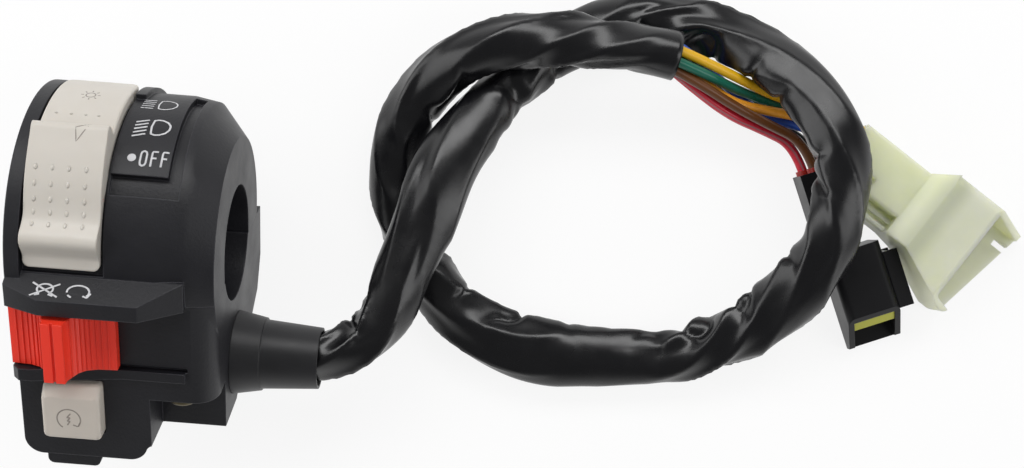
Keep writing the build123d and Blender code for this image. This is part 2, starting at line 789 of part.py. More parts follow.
foot_left_x = slider_mid - slider_travel / 2
foot_right_x = slider_mid + slider_travel / 2
stop_pads = []
for x in (foot_left_x, foot_right_x, foot_right_x + slider_travel):
    stop_pads.append(block(x - stop_pad_width / 2, x + stop_pad_width / 2, stop_mid_up - stop_pad_width,
                           stop_mid_up + stop_pad_width, stop_plate_top, stop_plate_top + stop_pad_thick))
stop_bridge_t = stop_carrier_t - bridge_thick
stop_bridge = block(foot_left_x - track_width / 2, foot_right_x + track_width / 2, stop_mid_up - track_width,
                    stop_mid_up + track_width, stop_bridge_t, stop_carrier_t)
for x in (foot_left_x, foot_right_x):
    stop_bridge = stop_bridge + block(x - track_width / 2, x + track_width / 2, stop_mid_up - track_width,
                                      stop_mid_up + track_width, stop_plate_top + stop_pad_thick + slip,
                                      stop_bridge_t)

# Start button with its flange and plunger
button = block(button_left, button_right, button_low_up, button_high_up,
               front_inner_t - flange_thick, button_t)
button_top = button.faces().sort_by(Axis.Z)[-1]
high_edge = button_top.edges().sort_by(Axis.Y)[-1]
button = chamfer(high_edge, button_bevel, button_bevel * 1.3)
button_rim = button.faces().sort_by(Axis.Z)[-1].edges()
button = fillet(button_rim, button_round)
flange_t = front_inner_t - slip
flange = block(button_left - flange_width, button_right + flange_width, button_low_up - flange_width,
               button_high_up + flange_width, flange_t - flange_thick, flange_t)
button_x = (button_left + button_right) / 2
button_up = (button_low_up + button_high_up) / 2
flange_low_t = flange_t - flange_thick
bar_low_t = flange_low_t - contact_bar_thick
start_plate_top = start_plate_t + start_plate_thick
plunger = rod_t(plunger_r, start_plate_t, flange_low_t, button_x, button_up)
button = button + flange + plunger
contact_bar = block(button_x - contact_bar_half, button_x + contact_bar_half,
                    button_up - contact_bar_width / 2, button_up + contact_bar_width / 2,
                    bar_low_t, flange_low_t)
contact_bar = contact_bar - rod_t(plunger_r, bar_low_t - overrun, flange_low_t + overrun, button_x, button_up)
bar_ring = rod_t(return_spring_r + 3 * return_wire_r, bar_low_t, flange_low_t, button_x, button_up)
contact_bar = contact_bar + (bar_ring - rod_t(plunger_r, bar_low_t - overrun, flange_t, button_x, button_up))
start_plate = block(inner_left, start_plate_right, button_block_low_up + wall, button_high_up,
                    start_plate_t, start_plate_top)
plunger_hole = rod_t(plunger_r + 2 * slip, start_plate_t - overrun, flange_t, button_x, button_up)
start_plate = start_plate - plunger_hole
post_top_t = bar_low_t - button_travel - slip
start_posts = []
for side in (-1, 1):
    start_posts.append(rod_t(post_r, start_plate_top, post_top_t, button_x + side * post_offset, button_up))
return_spring = helix_spring(bar_low_t - start_plate_top, return_pitch, return_spring_r, return_wire_r)
return_spring = Pos(button_x, button_up, start_plate_top) * return_spring

# Clamp screws and brass inserts
screws = []
inserts = []
seats = (step_up, rear_seat_up)
for x, t, seat in zip(insert_x, insert_t, seats):
    shank = rod_n(screw_r, seat - slip, insert_high_up, x, t)
    head = rod_n(screw_head_r, seat - screw_head_h, seat, x, t)
    head = fillet(head.edges().sort_by(Axis.Y)[0], screw_head_h / 3)
    drive = block(x - screw_socket_r, x + screw_socket_r, seat - screw_head_h - overrun,
                  seat - screw_head_h + screw_socket_depth, t - screw_socket_r / 3, t + screw_socket_r / 3)
    cross = block(x - screw_socket_r / 3, x + screw_socket_r / 3, seat - screw_head_h - overrun,
                  seat - screw_head_h + screw_socket_depth, t - screw_socket_r, t + screw_socket_r)
    screws.append(shank + head - drive - cross)
    insert = rod_n(insert_r, insert_low_up, insert_high_up, x, t)
    insert_bore = rod_n(screw_r + slip / 2, insert_low_up - overrun, insert_high_up + overrun, x, t)
    inserts.append(insert - insert_bore)

# Cable boot
sleeve_r = sleeve_d / 2
boot_mouth_x = right_x + boot_length
boot_step_x = right_x + boot_step_length
boot_profile = [
    (inner_right - boot_flange_thick, boot_bore_r),
    (inner_right - boot_flange_thick, boot_flange_r),
    (inner_right, boot_flange_r),
    (inner_right, boot_neck_r),
    (right_x, boot_neck_r),
    (right_x, boot_flare_r),
    (right_x + boot_flare_length - boot_ring_length, boot_waist_r + boot_ring_height),
    (right_x + boot_flare_length - boot_ring_length, boot_waist_r),
    (boot_mouth_x, boot_mouth_r),
    (boot_mouth_x, sleeve_r + boot_mouth_flare),
    ((boot_mouth_x + boot_step_x) / 2, sleeve_r + seat_gap),
    (boot_step_x, sleeve_r + seat_gap),
    (boot_step_x, boot_bore_r),
]
boot_wire = Polyline([(x, boot_y, boot_z + r) for x, r in boot_profile], close=True)
boot = revolve(make_face(boot_wire), axis=Axis((0, boot_y, boot_z), (1, 0, 0)))

# Sleeve and wire routes, chosen by hand along the photographed loop
sleeve_points = [
    (right_x + boot_step_length, boot_y, boot_z),
    (37.0, -21.5, -9.0),
    (46.5, -13.5, -10.0),
    (51.0, 3.5, -10.5),
    (57.0, 21.5, -12.5),
    (67.5, 37.0, -21.0),
    (84.0, 50.0, -22.1),
    (100.0, 53.0, -22.1),
    (116.0, 47.0, -16.2),
    (129.5, 36.0, -9.2),
    (134.8, 20.0, -7.6),
    (131.5, 4.5, -9.0),
    (121.5, -8.5, -18.0),
    (106.5, -16.8, -22.1),
    (90.0, -18.4, -22.1),
    (74.0, -18.3, -22.1),
    (60.5, -12.0, -22.1),
    (49.5, 0.5, -22.1),
    (44.0, 14.5, -22.1),
    (46.8, 30.5, -20.0),
    (57.0, 41.0, -14.0),
    (72.0, 44.2, -10.5),
    (88.0, 45.0, -10.5),
    (99.5, 43.3, -12.0),
]
wire_points = {
    "wire_yellow": [
        (98.2, 44.8, -9.4), (104.6, 42.9, -11.9), (112.3, 40.5, -15.8), (120.0, 38.1, -20.3),
        (127.0, 36.4, -20.6)],
    "wire_orange": [
        (98.2, 43.5, -11.8), (104.6, 39.6, -15.0), (112.3, 35.4, -18.0), (120.0, 34.6, -19.4),
        (127.0, 33.9, -19.4)],
    "wire_blue": [
        (98.2, 46.2, -11.3), (104.6, 42.9, -14.7), (112.3, 38.3, -21.3), (120.0, 33.4, -23.0),
        (127.0, 32.2, -21.4)],
    "wire_green": [
        (98.2, 42.4, -9.2), (104.6, 40.5, -11.3), (112.3, 38.4, -17.8), (120.0, 36.6, -21.6),
        (127.0, 34.4, -22.6)],
    "wire_light_green": [
        (98.2, 45.6, -13.5), (104.6, 41.9, -18.0), (112.3, 37.6, -23.6), (120.0, 36.6, -25.2),
        (127.0, 35.8, -24.8)],
    "wire_red": [
        (98.2, 41.3, -13.4), (104.6, 37.0, -15.4), (112.0, 32.9, -18.0), (119.0, 31.0, -21.4)],
    "wire_brown": [
        (98.2, 40.9, -11.0), (104.6, 38.3, -12.5), (112.3, 34.6, -15.4), (119.5, 32.0, -18.8)],
    "wire_black": [
        (98.2, 43.1, -14.5), (104.6, 38.9, -17.8), (112.3, 34.4, -21.4), (120.0, 33.0, -25.6)],
}
# Where each wire enters its connector: across the rear face, and up from the table
wire_entries = {
    "wire_yellow": (large_wire_across, large_wire_high),
    "wire_orange": (0, large_wire_high),
    "wire_blue": (-large_wire_across, large_wire_high),
    "wire_green": (0, large_wire_low),
    "wire_light_green": (large_wire_across, large_wire_low),
    "wire_red": (-small_wire_across, small_wire_low),
    "wire_brown": (0, small_wire_high),
    "wire_black": (small_wire_across, small_wire_low),
}
large_place = Pos(large_x, large_y, table_z) * Rot(0, 0, large_turn)
small_place = Pos(small_x, small_y, table_z) * Rot(0, 0, small_turn)
large_rear = -hood_length - shoulder_length - tail_length - rear_length
large_rear_y = -tail_inset - rear_width / 2
for name, (across, up) in wire_entries.items():
    place, rear_x, rear_y, lead = large_place, large_rear, large_rear_y + across, large_lead
    height = tail_lift + up
    if name in ("wire_red", "wire_brown", "wire_black"):
        place, rear_x, rear_y, lead = small_place, -wire_seal_proud, small_tail_width / 2 + across, small_lead
        height = up
    for x in (rear_x - lead, rear_x):
        wire_points[name].append(tuple((place * Pos(x, rear_y, height)).position))
sleeve, sleeve_path = cord_tube("harness_sleeve", sleeve_points, sleeve_d)
sleeve_end = Plane(sleeve_path @ 1, z_dir=sleeve_path % 1)
sleeve = sleeve - sleeve_end * Pos(0, 0, -sleeve_open / 2) * Cylinder(sleeve_r - sleeve_wall, sleeve_open)
wires = {}
for name, points in wire_points.items():
    wires[name], wire_path = cord_tube(name, points, wire_d)

# Cable tie round the wires, behind the boot
tie_x = inner_right - boot_flange_thick - tie_width - slip
tie = rod_x(boot_bore_r + tie_thick, tie_x, tie_x + tie_width, boot_y, boot_z)
tie_lock = block(tie_x, tie_x + tie_width + slip, boot_y - tie_head / 2, boot_y + tie_head / 2,
                 boot_z + boot_bore_r, boot_z + boot_bore_r + tie_head)
tie = tie + tie_lock
tie = tie - rod_x(boot_bore_r, tie_x - overrun, tie_x + tie_width + overrun, boot_y, boot_z)

# Large connector, drawn with its mouth along X and its straight side on Y = 0
hood_back = -hood_length
shoulder_back = hood_back - shoulder_length
tail_back = shoulder_back - tail_length
rear_back = tail_back - rear_length


def hood_plan(inset, back, front):
    return [
        (back, -inset),
        (front, -inset),
        (front - hood_lip_slant, -hood_wide + inset),
        (hood_back + hood_flare, -hood_wide + inset),
        (back, -hood_narrow + inset),
    ]


def level_prism(points, z0, z1):
    face = make_face(Polyline([(x, y, z0) for x, y in points], close=True))
    return extrude(face, amount=z1 - z0, dir=(0, 0, 1))


hood = level_prism(hood_plan(0, hood_back, hood_lip), 0, hood_height)
hood_corner = hood.edges().filter_by(Axis.Z).sort_by_distance((hood_lip - hood_lip_slant, -hood_wide, 0))[0]
hood = fillet(hood_corner, hood_corner_round)
hood = fillet(hood.edges().filter_by(Axis.X).group_by(Axis.Z)[-1], hood_round)
shoulder_big = Plane((hood_back, -hood_narrow / 2, hood_height / 2), x_dir=(0, 1, 0), z_dir=(-1, 0, 0))
tail_mid_y = -tail_inset - tail_width / 2
tail_mid_z = tail_lift + tail_height / 2
shoulder_small = Plane((shoulder_back, tail_mid_y, tail_mid_z), x_dir=(0, 1, 0), z_dir=(-1, 0, 0))
shoulder = loft([shoulder_big * Rectangle(hood_narrow, hood_height),
                 shoulder_small * Rectangle(tail_width, tail_height)])
tail_low_top = tail_lift + tail_low_height
tail = block(tail_back, shoulder_back, -tail_inset - tail_width, -tail_inset, tail_lift, tail_low_top)
deck = block(tail_back, shoulder_back, -tail_inset - deck_width, -tail_inset,
             tail_lift, tail_lift + tail_height)
deck = fillet(deck.edges().filter_by(Axis.X).group_by(Axis.Z)[-1], deck_round)
rear = block(rear_back, tail_back, -tail_inset - rear_width, -tail_inset, tail_lift, tail_lift + tail_height)
rear = fillet(rear.edges().filter_by(Axis.X).group_by(Axis.Z)[-1], deck_round)
large = hood + shoulder + tail + deck + rear
for share in (0.35, 0.85):
    rib_y = -tail_inset - deck_width - share * (tail_width - deck_width)
    large = large + block(tail_back, shoulder_back, rib_y - tail_rib / 2, rib_y + tail_rib / 2,
                          tail_low_top - tail_rib, tail_low_top + tail_rib)
hood_inside = level_prism(hood_plan(hood_wall, hood_back + hood_wall, hood_lip + overrun), hood_wall,
                          hood_height - hood_wall)
slant = [
    (hood_lip + overrun, hood_wall * 2),
    (hood_lip, hood_wall * 2),
    (-hood_top_back, hood_height),
    (-hood_top_back, hood_height + overrun),
    (hood_lip + overrun, hood_height + overrun),
]
slant_face = make_face(Polyline([(x, overrun, z) for x, z in slant], close=True))
large = large - hood_inside - extrude(slant_face, amount=hood_wide + 2 * overrun, dir=(0, -1, 0))
notch_cut = block(hood_lip - hood_notch_depth, hood_lip + overrun,
                  -hood_notch_in - hood_notch, -hood_notch_in, -overrun, hood_height + overrun)
large = large - notch_cut
pin_z0 = hood_height / 2
pins = []
for column in range(pin_columns):
    for row in range(pin_rows):
        pin_y = -hood_narrow / 2 + (column - (pin_columns - 1) / 2) * pin_pitch
        pin_z = pin_z0 + (row - (pin_rows - 1) / 2) * pin_row_pitch
        pin_x = hood_back + hood_wall
        pins.append(block(pin_x, pin_x + pin_length, pin_y - pin_width / 2, pin_y + pin_width / 2,
                          pin_z - pin_thick / 2, pin_z + pin_thick / 2))
large = large_place * large
pins = [large_place * pin for pin in pins]

# Small connector, drawn with its mouth along X and its straight side on Y = 0
small_tail = block(0, small_tail_length, 0, small_tail_width, 0, small_tail_height)
small_head = block(small_tail_length, small_length + small_lip, 0, small_width, 0, small_height)
small = small_tail + small_head
small = fillet(small.edges().filter_by(Axis.X).group_by(Axis.Z)[-1], small_round)
small_cut = [
    (small_length + small_lip + overrun, small_wall * 2),
    (small_length + small_lip, small_wall * 2),
    (small_length, small_height),
    (small_length, small_height + overrun),
    (small_length + small_lip + overrun, small_height + overrun),
]
small_cut_face = make_face(Polyline([(x, -overrun, z) for x, z in small_cut], close=True))
small_mouth_cut = extrude(small_cut_face, amount=small_width + 4 * overrun, dir=(0, 1, 0))
small = small - small_mouth_cut
mouth_back = small_length - small_mouth_depth
small = small - block(mouth_back, small_length + overrun * 2, small_wall, small_width - small_wall,
                      small_wall, small_height - small_wall)
rail_start = small_tail_length + rail_setback
rail_end = rail_start + rail_length
rail_y = small_width - seat_gap
rail = block(rail_start, rail_end, rail_y, small_width + rail_width, rail_low, rail_high)
rail = rail - block(rail_start - overrun, rail_end + overrun, small_width + rail_wall,
                    small_width + rail_width + overrun, rail_low + rail_wall, rail_high - rail_wall)
small = small + rail
seal_x = small_length + seal_reach - seal_length
seal = block(seal_x, seal_x + seal_length, small_wall, small_width - small_wall, small_wall,
             small_height - small_wall)
seal = seal - block(seal_x - overrun, seal_x + seal_length + overrun, small_wall + seal_wall,
                    small_width - small_wall - seal_wall, small_wall + seal_wall,
                    small_height - small_wall - seal_roof)
seal = seal - Pos(-sliding_gap, 0, 0) * small_mouth_cut
small_wire_mid = small_tail_width / 2
small_wires = [
    (small_wire_mid - small_wire_across, small_wire_low),
    (small_wire_mid, small_wire_high),
    (small_wire_mid + small_wire_across, small_wire_low),
]
wire_seals = []
sockets = []
for y, z in small_wires:
    small = small - rod_x(wire_seal_r, -overrun, wire_seal_length, y, z)
    ring = rod_x(wire_seal_r, -wire_seal_proud, wire_seal_length, y, z)
    wire_seals.append(ring)
    socket_y = small_width / 2 + (y - small_wire_mid)
    socket = block(mouth_back, mouth_back + socket_length, socket_y - socket_width / 2 + seat_gap,
                   socket_y + socket_width / 2 - seat_gap, z - socket_height / 2, z + socket_height / 2)
    hole = rod_x(socket_height / 4, mouth_back + wall, mouth_back + socket_length + overrun, socket_y, z)
    sockets.append(socket - hole)
small = small_place * small
seal = small_place * seal
wire_seals = [small_place * ring for ring in wire_seals]
sockets = [small_place * socket for socket in sockets]

nodes = {
    "upper_housing": tilt(upper),
    "lower_housing": tilt(lower),
    "light_lever": tilt(lever),
    "light_carrier": tilt(carrier),
    "light_bridge": tilt(light_bridge),
    "light_contact_plate": tilt(light_plate),
    "light_tracks": Compound([tilt(track) for track in light_tracks]),
    "light_detent_ball": tilt(light_ball),
    "light_detent_spring": tilt(light_spring),
    "stop_slider": tilt(slider),
    "stop_carrier": tilt(stop_carrier),
    "stop_bridge": tilt(stop_bridge),
    "stop_contact_plate": tilt(stop_plate),
    "stop_pads": Compound([tilt(pad) for pad in stop_pads]),
    "stop_detent_ball": tilt(stop_ball),
    "stop_detent_spring": tilt(stop_spring),
    "start_button": tilt(button),
    "start_contact_bar": tilt(contact_bar),
    "start_contact_plate": tilt(start_plate),
    "start_contact_posts": Compound([tilt(post) for post in start_posts]),
    "start_return_spring": tilt(return_spring),
    "clamp_screws": Compound([tilt(screw) for screw in screws]),
    "clamp_screw_inserts": Compound([tilt(insert) for insert in inserts]),
    "cable_boot": boot,
    "cable_tie": tie,
    "harness_sleeve": sleeve,
    "large_connector": large,
    "large_connector_pins": Compound(pins),
    "small_connector": small,
    "small_connector_seal": seal,
    "small_connector_sockets": Compound(sockets),
    "wire_seals": Compound(wire_seals),
}
nodes.update(wires)
for name, shape in nodes.items():
    export_step(shape, f"parts/{name}.step")
    print(name, "volume", round(shape.volume, 1))
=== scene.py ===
import json
import math

import bmesh
import bpy
from mathutils import Matrix, Vector, noise
from mathutils.bvhtree import BVHTree


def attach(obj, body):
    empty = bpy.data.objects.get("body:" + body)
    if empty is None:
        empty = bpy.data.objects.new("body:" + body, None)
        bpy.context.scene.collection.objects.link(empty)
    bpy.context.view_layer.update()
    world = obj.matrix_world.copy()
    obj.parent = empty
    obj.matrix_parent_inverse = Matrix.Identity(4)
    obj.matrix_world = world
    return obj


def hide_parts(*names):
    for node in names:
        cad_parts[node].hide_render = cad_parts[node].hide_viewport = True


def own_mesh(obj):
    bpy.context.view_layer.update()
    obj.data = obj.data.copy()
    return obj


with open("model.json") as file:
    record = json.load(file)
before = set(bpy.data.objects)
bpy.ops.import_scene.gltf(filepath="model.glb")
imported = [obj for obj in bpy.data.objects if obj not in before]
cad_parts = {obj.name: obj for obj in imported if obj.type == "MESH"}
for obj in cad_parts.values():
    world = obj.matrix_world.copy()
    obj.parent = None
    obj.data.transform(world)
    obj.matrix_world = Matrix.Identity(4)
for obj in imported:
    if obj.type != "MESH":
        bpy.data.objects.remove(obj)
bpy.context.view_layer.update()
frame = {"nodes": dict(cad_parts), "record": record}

# Places and sizes in mm. x, up and t are the tilted block's own directions: along the handlebar, up
# the block's face and out of it. The drum's axis lies at DRUM_UP and DRUM_T, LEVER_R is the outside
# of the lever's sheet, and the start button's cap stands out from BUTTON_CAP_T.
MM = 0.001
TABLE_Z = -27.2
TILT = math.radians(26)
DRUM_UP = 1.6
DRUM_T = -2.45
DRUM_R = 24.5
LEVER_R = 26.15
BUTTON_CAP_T = 21.0

# The connectors as they lie: the corner that each is measured from and its turn on the table in
# degrees, then the middle of the face where its wires go in, and how far they run straight to it
CONNECTORS = {
    "large_connector": {"corner": (171.5, 15.4), "turn": -33.9, "rear": (-36.5, -7.1), "lead": 5.0},
    "small_connector": {"corner": (127.2, 21.9), "turn": -67.8, "rear": (0, 3.5), "lead": 6.3},
}

# The photograph's viewpoint: the lens in mm, the camera's place in metres and its roll in degrees
CAMERA_LENS = 51.2
CAMERA_PLACE = (0.06987, 0.00568, 0.276)
CAMERA_ROLL = 4.5


def tilted(x, up, t):
    """The block's own x, up and t in mm, as a place in metres."""
    return Vector((x, up * math.cos(TILT) - t * math.sin(TILT),
                   up * math.sin(TILT) + t * math.cos(TILT))) * MM


def drum_point(radius, degrees, x):
    """A place round the drum's axis, counted from the front, in metres."""
    angle = math.radians(degrees)
    return tilted(x, DRUM_UP + radius * math.sin(angle), DRUM_T + radius * math.cos(angle))


def block_place(place):
    """A place in metres, as the block's own x, up and t in mm."""
    return (place.x / MM, (place.y * math.cos(TILT) + place.z * math.sin(TILT)) / MM,
            (place.z * math.cos(TILT) - place.y * math.sin(TILT)) / MM)


def block_range(node):
    """The lowest and highest x, up and t of a CAD node, in mm."""
    columns = list(zip(*(block_place(vertex.co) for vertex in frame["nodes"][node].data.vertices)))
    return [min(column) for column in columns], [max(column) for column in columns]


# Camera, light and table

def linear(hex_colour):
    """An sRGB hex colour as the linear values that shaders take."""
    parts = [int(hex_colour[i:i + 2], 16) / 255 for i in (1, 3, 5)]
    return tuple(p / 12.92 if p <= 0.04045 else ((p + 0.055) / 1.055) ** 2.4 for p in parts) + (1,)


def add(material, kind, inputs=(), **settings):
    """Adds one node, sets its settings, and sets or links its inputs."""
    made = material.node_tree.nodes.new(kind)
    for key, value in settings.items():
        setattr(made, key, value)
    for key, value in dict(inputs).items():
        if isinstance(value, bpy.types.NodeSocket):
            material.node_tree.links.new(value, made.inputs[key])
        else:
            made.inputs[key].default_value = value
    return made


camera_data = bpy.data.cameras.new("camera")
camera_data.lens = CAMERA_LENS
camera_data.sensor_width = 36
camera_data.clip_start = 0.01
camera = bpy.data.objects.new("camera", camera_data)
camera.location = CAMERA_PLACE
camera.rotation_euler = (0, 0, math.radians(CAMERA_ROLL))
bpy.context.scene.collection.objects.link(camera)
bpy.context.scene.camera = camera
bpy.context.scene.view_settings.view_transform = "Standard"


def softbox(name, place, aim, width, height, watts):
    """A studio softbox at place, turned towards aim, in metres."""
    data = bpy.data.lights.new(name, "AREA")
    data.shape = "RECTANGLE"
    data.size, data.size_y, data.energy = width, height, watts
    lamp = bpy.data.objects.new(name, data)
    lamp.location = place
    lamp.rotation_euler = (Vector(aim) - Vector(place)).to_track_quat("-Z", "Y").to_euler()
    bpy.context.scene.collection.objects.link(lamp)


softbox("softbox_over_the_top", (0.03, 0.40, 0.42), (0.05, 0, 0), 0.75, 0.20, 2.2)
softbox("softbox_right", (0.60, -0.04, 0.34), (0.06, 0, 0), 0.20, 0.6, 0.95)
softbox("softbox_left", (-0.46, 0.02, 0.28), (0.03, 0, 0), 0.5, 0.4, 1.3)

# The room: white round the table, dark overhead, where only the softboxes hang. The dark ceiling
# is what gloss on an upward face mirrors. The camera sees white, and the fill is soft and low.
world = bpy.data.worlds.new("studio")
world.use_nodes = True
world.node_tree.nodes.clear()
rays = add(world, "ShaderNodeLightPath")
ray_end = add(world, "ShaderNodeTexCoord")
ray_way = add(world, "ShaderNodeSeparateXYZ", {"Vector": ray_end.outputs["Generated"]})
walls = add(world, "ShaderNodeMapRange", {"Value": ray_way.outputs["Z"], "From Min": 0.05,
                                          "From Max": 0.55, "To Min": 0.85, "To Max": 0.04})
mirrored = add(world, "ShaderNodeMath", {0: rays.outputs["Is Glossy Ray"], 1: walls.outputs["Result"]},
               operation="MULTIPLY")
straight = add(world, "ShaderNodeMath", {0: rays.outputs["Is Camera Ray"],
                                         1: rays.outputs["Is Transmission Ray"]}, operation="MAXIMUM")
seen = add(world, "ShaderNodeMath", {0: straight.outputs[0], 1: mirrored.outputs[0]}, operation="MAXIMUM")
unlit = add(world, "ShaderNodeMath", {0: rays.outputs["Is Glossy Ray"], 1: 0.8}, operation="MULTIPLY")
fill = add(world, "ShaderNodeMapRange", {"Value": unlit.outputs[0], "To Min": 0.42, "To Max": 0.05})
room = add(world, "ShaderNodeBackground", {"Color": (1, 1, 1, 1), "Strength": fill.outputs["Result"]})
white = add(world, "ShaderNodeBackground", {"Color": (1, 1, 1, 1), "Strength": 1.0})
both = add(world, "ShaderNodeMixShader", {0: seen.outputs[0], 1: room.outputs[0], 2: white.outputs[0]})
add(world, "ShaderNodeOutputWorld", {"Surface": both.outputs[0]})
bpy.context.scene.world = world


def new_material(name):
    """An empty node material."""
    made = bpy.data.materials.new(name)
    made.use_nodes = True
    made.node_tree.nodes.clear()
    return made


# White paper sweep: diffuse, with the camera seeing it near white, so only a soft shadow is left
paper = new_material("white_paper_sweep")
paper_rays = add(paper, "ShaderNodeLightPath")
paper_diffuse = add(paper, "ShaderNodeBsdfDiffuse", {"Color": linear("#f4f4f4")})
paper_glow = add(paper, "ShaderNodeEmission", {"Color": (1, 1, 1, 1), "Strength": 1.0})
paper_seen = add(paper, "ShaderNodeMath", {0: paper_rays.outputs["Is Camera Ray"],
                                           1: paper_rays.outputs["Is Transmission Ray"]},
                 operation="MAXIMUM")
paper_mirrored = add(paper, "ShaderNodeMath", {0: paper_seen.outputs[0],
                                               1: paper_rays.outputs["Is Glossy Ray"]}, operation="MAXIMUM")
paper_share = add(paper, "ShaderNodeMath", {0: paper_mirrored.outputs[0], 1: 0.86}, operation="MULTIPLY")
paper_mix = add(paper, "ShaderNodeMixShader", {0: paper_share.outputs[0], 1: paper_diffuse.outputs[0],
                                               2: paper_glow.outputs[0]})
add(paper, "ShaderNodeOutputMaterial", {"Surface": paper_mix.outputs[0]})


def finished_mesh(name, bm, material, smooth=False):
    """Turns a bmesh whose place is in its vertices into an object with one material."""
    data = bpy.data.meshes.new(name)
    for face in bm.faces:
        face.smooth = smooth
    bm.to_mesh(data)
    bm.free()
    data.materials.append(material)
    made = bpy.data.objects.new(name, data)
    bpy.context.scene.collection.objects.link(made)
    return made


table = bmesh.new()
bmesh.ops.create_grid(table, x_segments=1, y_segments=1, size=3)
bmesh.ops.translate(table, verts=table.verts, vec=(0, 0, TABLE_Z * MM))
finished_mesh("table", table, paper)


# Materials

def object_place(material):
    """Object coordinates, in metres, as every pattern on the part reads them."""
    return add(material, "ShaderNodeTexCoord").outputs["Object"]


def moulded(name, colour, second, roughness, grain_mm, grain_height, patch_mm=9.0, scatter=0.0,
            edge_mm=0.0, edge_highlight=None, specular=0.5):
    """Moulded polymer: the tool's grain in the bump, slow patches in colour and gloss, and edges
    rounded by the tool, with a painted highlight along them in the given edge colour. Sizes are in mm, and
    the grain is drawn coarser than the real one, so that it shows."""
    material = new_material(name)
    place = object_place(material)
    grain = add(material, "ShaderNodeTexNoise", {"Vector": place, "Scale": 1 / (grain_mm * MM),
                                                 "Detail": 2.0, "Roughness": 0.6})
    patches = add(material, "ShaderNodeTexNoise", {"Vector": place, "Scale": 1 / (patch_mm * MM),
                                                   "Detail": 3.0, "Roughness": 0.55})
    tone = add(material, "ShaderNodeMix", {"Factor": patches.outputs["Fac"], "A": linear(colour),
                                           "B": linear(second)}, data_type="RGBA")
    gloss = add(material, "ShaderNodeMapRange", {"Value": patches.outputs["Fac"], "From Min": 0.3,
                                                 "From Max": 0.7, "To Min": roughness - 0.05,
                                                 "To Max": roughness + 0.05})
    bump = add(material, "ShaderNodeBump", {"Height": grain.outputs["Fac"], "Strength": 0.6,
                                            "Distance": grain_height * MM})
    shader = add(material, "ShaderNodeBsdfPrincipled",
                 {"Base Color": tone.outputs["Result"], "Roughness": gloss.outputs["Result"], "IOR": 1.5,
                  "Specular IOR Level": specular, "Normal": bump.outputs["Normal"]})
    if edge_mm:
        rounded = add(material, "ShaderNodeBevel", {"Radius": edge_mm * MM}, samples=6)
        material.node_tree.links.new(rounded.outputs["Normal"], bump.inputs["Normal"])
        # Painted highlight: the rounded edges are lightened towards the given colour, more where the
        # rounding turns them further
        if edge_highlight:
            skin = add(material, "ShaderNodeNewGeometry")
            turned = add(material, "ShaderNodeVectorMath",
                         {0: rounded.outputs["Normal"], 1: skin.outputs["Normal"]},
                         operation="DOT_PRODUCT")
            highlight_share = add(material, "ShaderNodeMapRange",
                         {"Value": turned.outputs["Value"], "From Min": 0.995, "From Max": 0.86,
                          "To Min": 0.0, "To Max": 0.55})
            highlighted_tone = add(material, "ShaderNodeMix",
                            {"Factor": highlight_share.outputs["Result"], "A": tone.outputs["Result"],
                             "B": linear(edge_highlight)}, data_type="RGBA")
            material.node_tree.links.new(highlighted_tone.outputs["Result"], shader.inputs["Base Color"])
    if scatter:
        shader.inputs["Subsurface Weight"].default_value = scatter
        shader.inputs["Subsurface Radius"].default_value = (0.0012, 0.0009, 0.0006)
        shader.inputs["Subsurface Scale"].default_value = 1.0
    add(material, "ShaderNodeOutputMaterial", {"Surface": shader.outputs[0]})
    return material


def metal(name, colour, roughness, scratch_mm, scratch_height):
    """Bare or plated metal with slow stains and fine drawing marks. Their sizes are in mm, and they
    are drawn coarser than the real ones, so that they show."""
    material = new_material(name)
    place = object_place(material)
    stains = add(material, "ShaderNodeTexNoise", {"Vector": place, "Scale": 1 / (2.5 * MM), "Detail": 3.0})
    marks = add(material, "ShaderNodeTexNoise", {"Vector": place, "Scale": 1 / (scratch_mm * MM),
                                                 "Detail": 2.0})
    gloss = add(material, "ShaderNodeMapRange", {"Value": stains.outputs["Fac"], "From Min": 0.3,
                                                 "From Max": 0.7, "To Min": roughness - 0.06,
                                                 "To Max": roughness + 0.08})
    bump = add(material, "ShaderNodeBump", {"Height": marks.outputs["Fac"], "Strength": 0.5,
                                            "Distance": scratch_height * MM})
    shader = add(material, "ShaderNodeBsdfPrincipled",
                 {"Base Color": linear(colour), "Metallic": 1.0, "Roughness": gloss.outputs["Result"],
                  "Normal": bump.outputs["Normal"]})
    add(material, "ShaderNodeOutputMaterial", {"Surface": shader.outputs[0]})
    return material


# Glass-filled nylon, moulded in a spark-eroded tool: grey-black, matte, with a fine even grain, and a
# painted highlight, paler grey, along its rounded edges
housing_nylon = moulded("glass_filled_nylon", "#151519", "#1d1d22", 0.46, 0.6, 0.07, edge_mm=0.35,
                        edge_highlight="#3a3a41", specular=0.40)
# ABS in warm grey: satin, with a faint mottling where it flowed
lever_abs = moulded("warm_grey_abs", "#c9c4bc", "#bfb9b0", 0.40, 0.5, 0.012, scatter=0.08, edge_mm=0.45)
# Red ABS from a polished tool: bright, with a soft gloss
slider_abs = moulded("red_abs", "#f23c28", "#e83320", 0.36, 0.6, 0.005, scatter=0.1, edge_mm=0.25)
# Button in grey ABS, a shade warmer than the lever
button_abs = moulded("button_grey_abs", "#cbc3b9", "#bfb7ad", 0.40, 0.5, 0.012, scatter=0.08, edge_mm=0.3)
# Acetal for the carriers inside: milky white, waxy
carrier_acetal = moulded("white_acetal", "#e9e7e0", "#dfddd5", 0.38, 0.6, 0.004, scatter=0.2)
# Paper-phenolic contact board: brown, dull, with a fibrous mottling
phenolic = moulded("phenolic_board", "#7a4a26", "#6a3d1e", 0.55, 0.3, 0.01, patch_mm=2.0)
# Brass strip, rolled and pressed
brass = metal("rolled_brass", "#c9a85a", 0.28, 0.2, 0.004)
# Spring wire, drawn
spring_steel = metal("drawn_spring_steel", "#a9a9a6", 0.32, 0.15, 0.003)
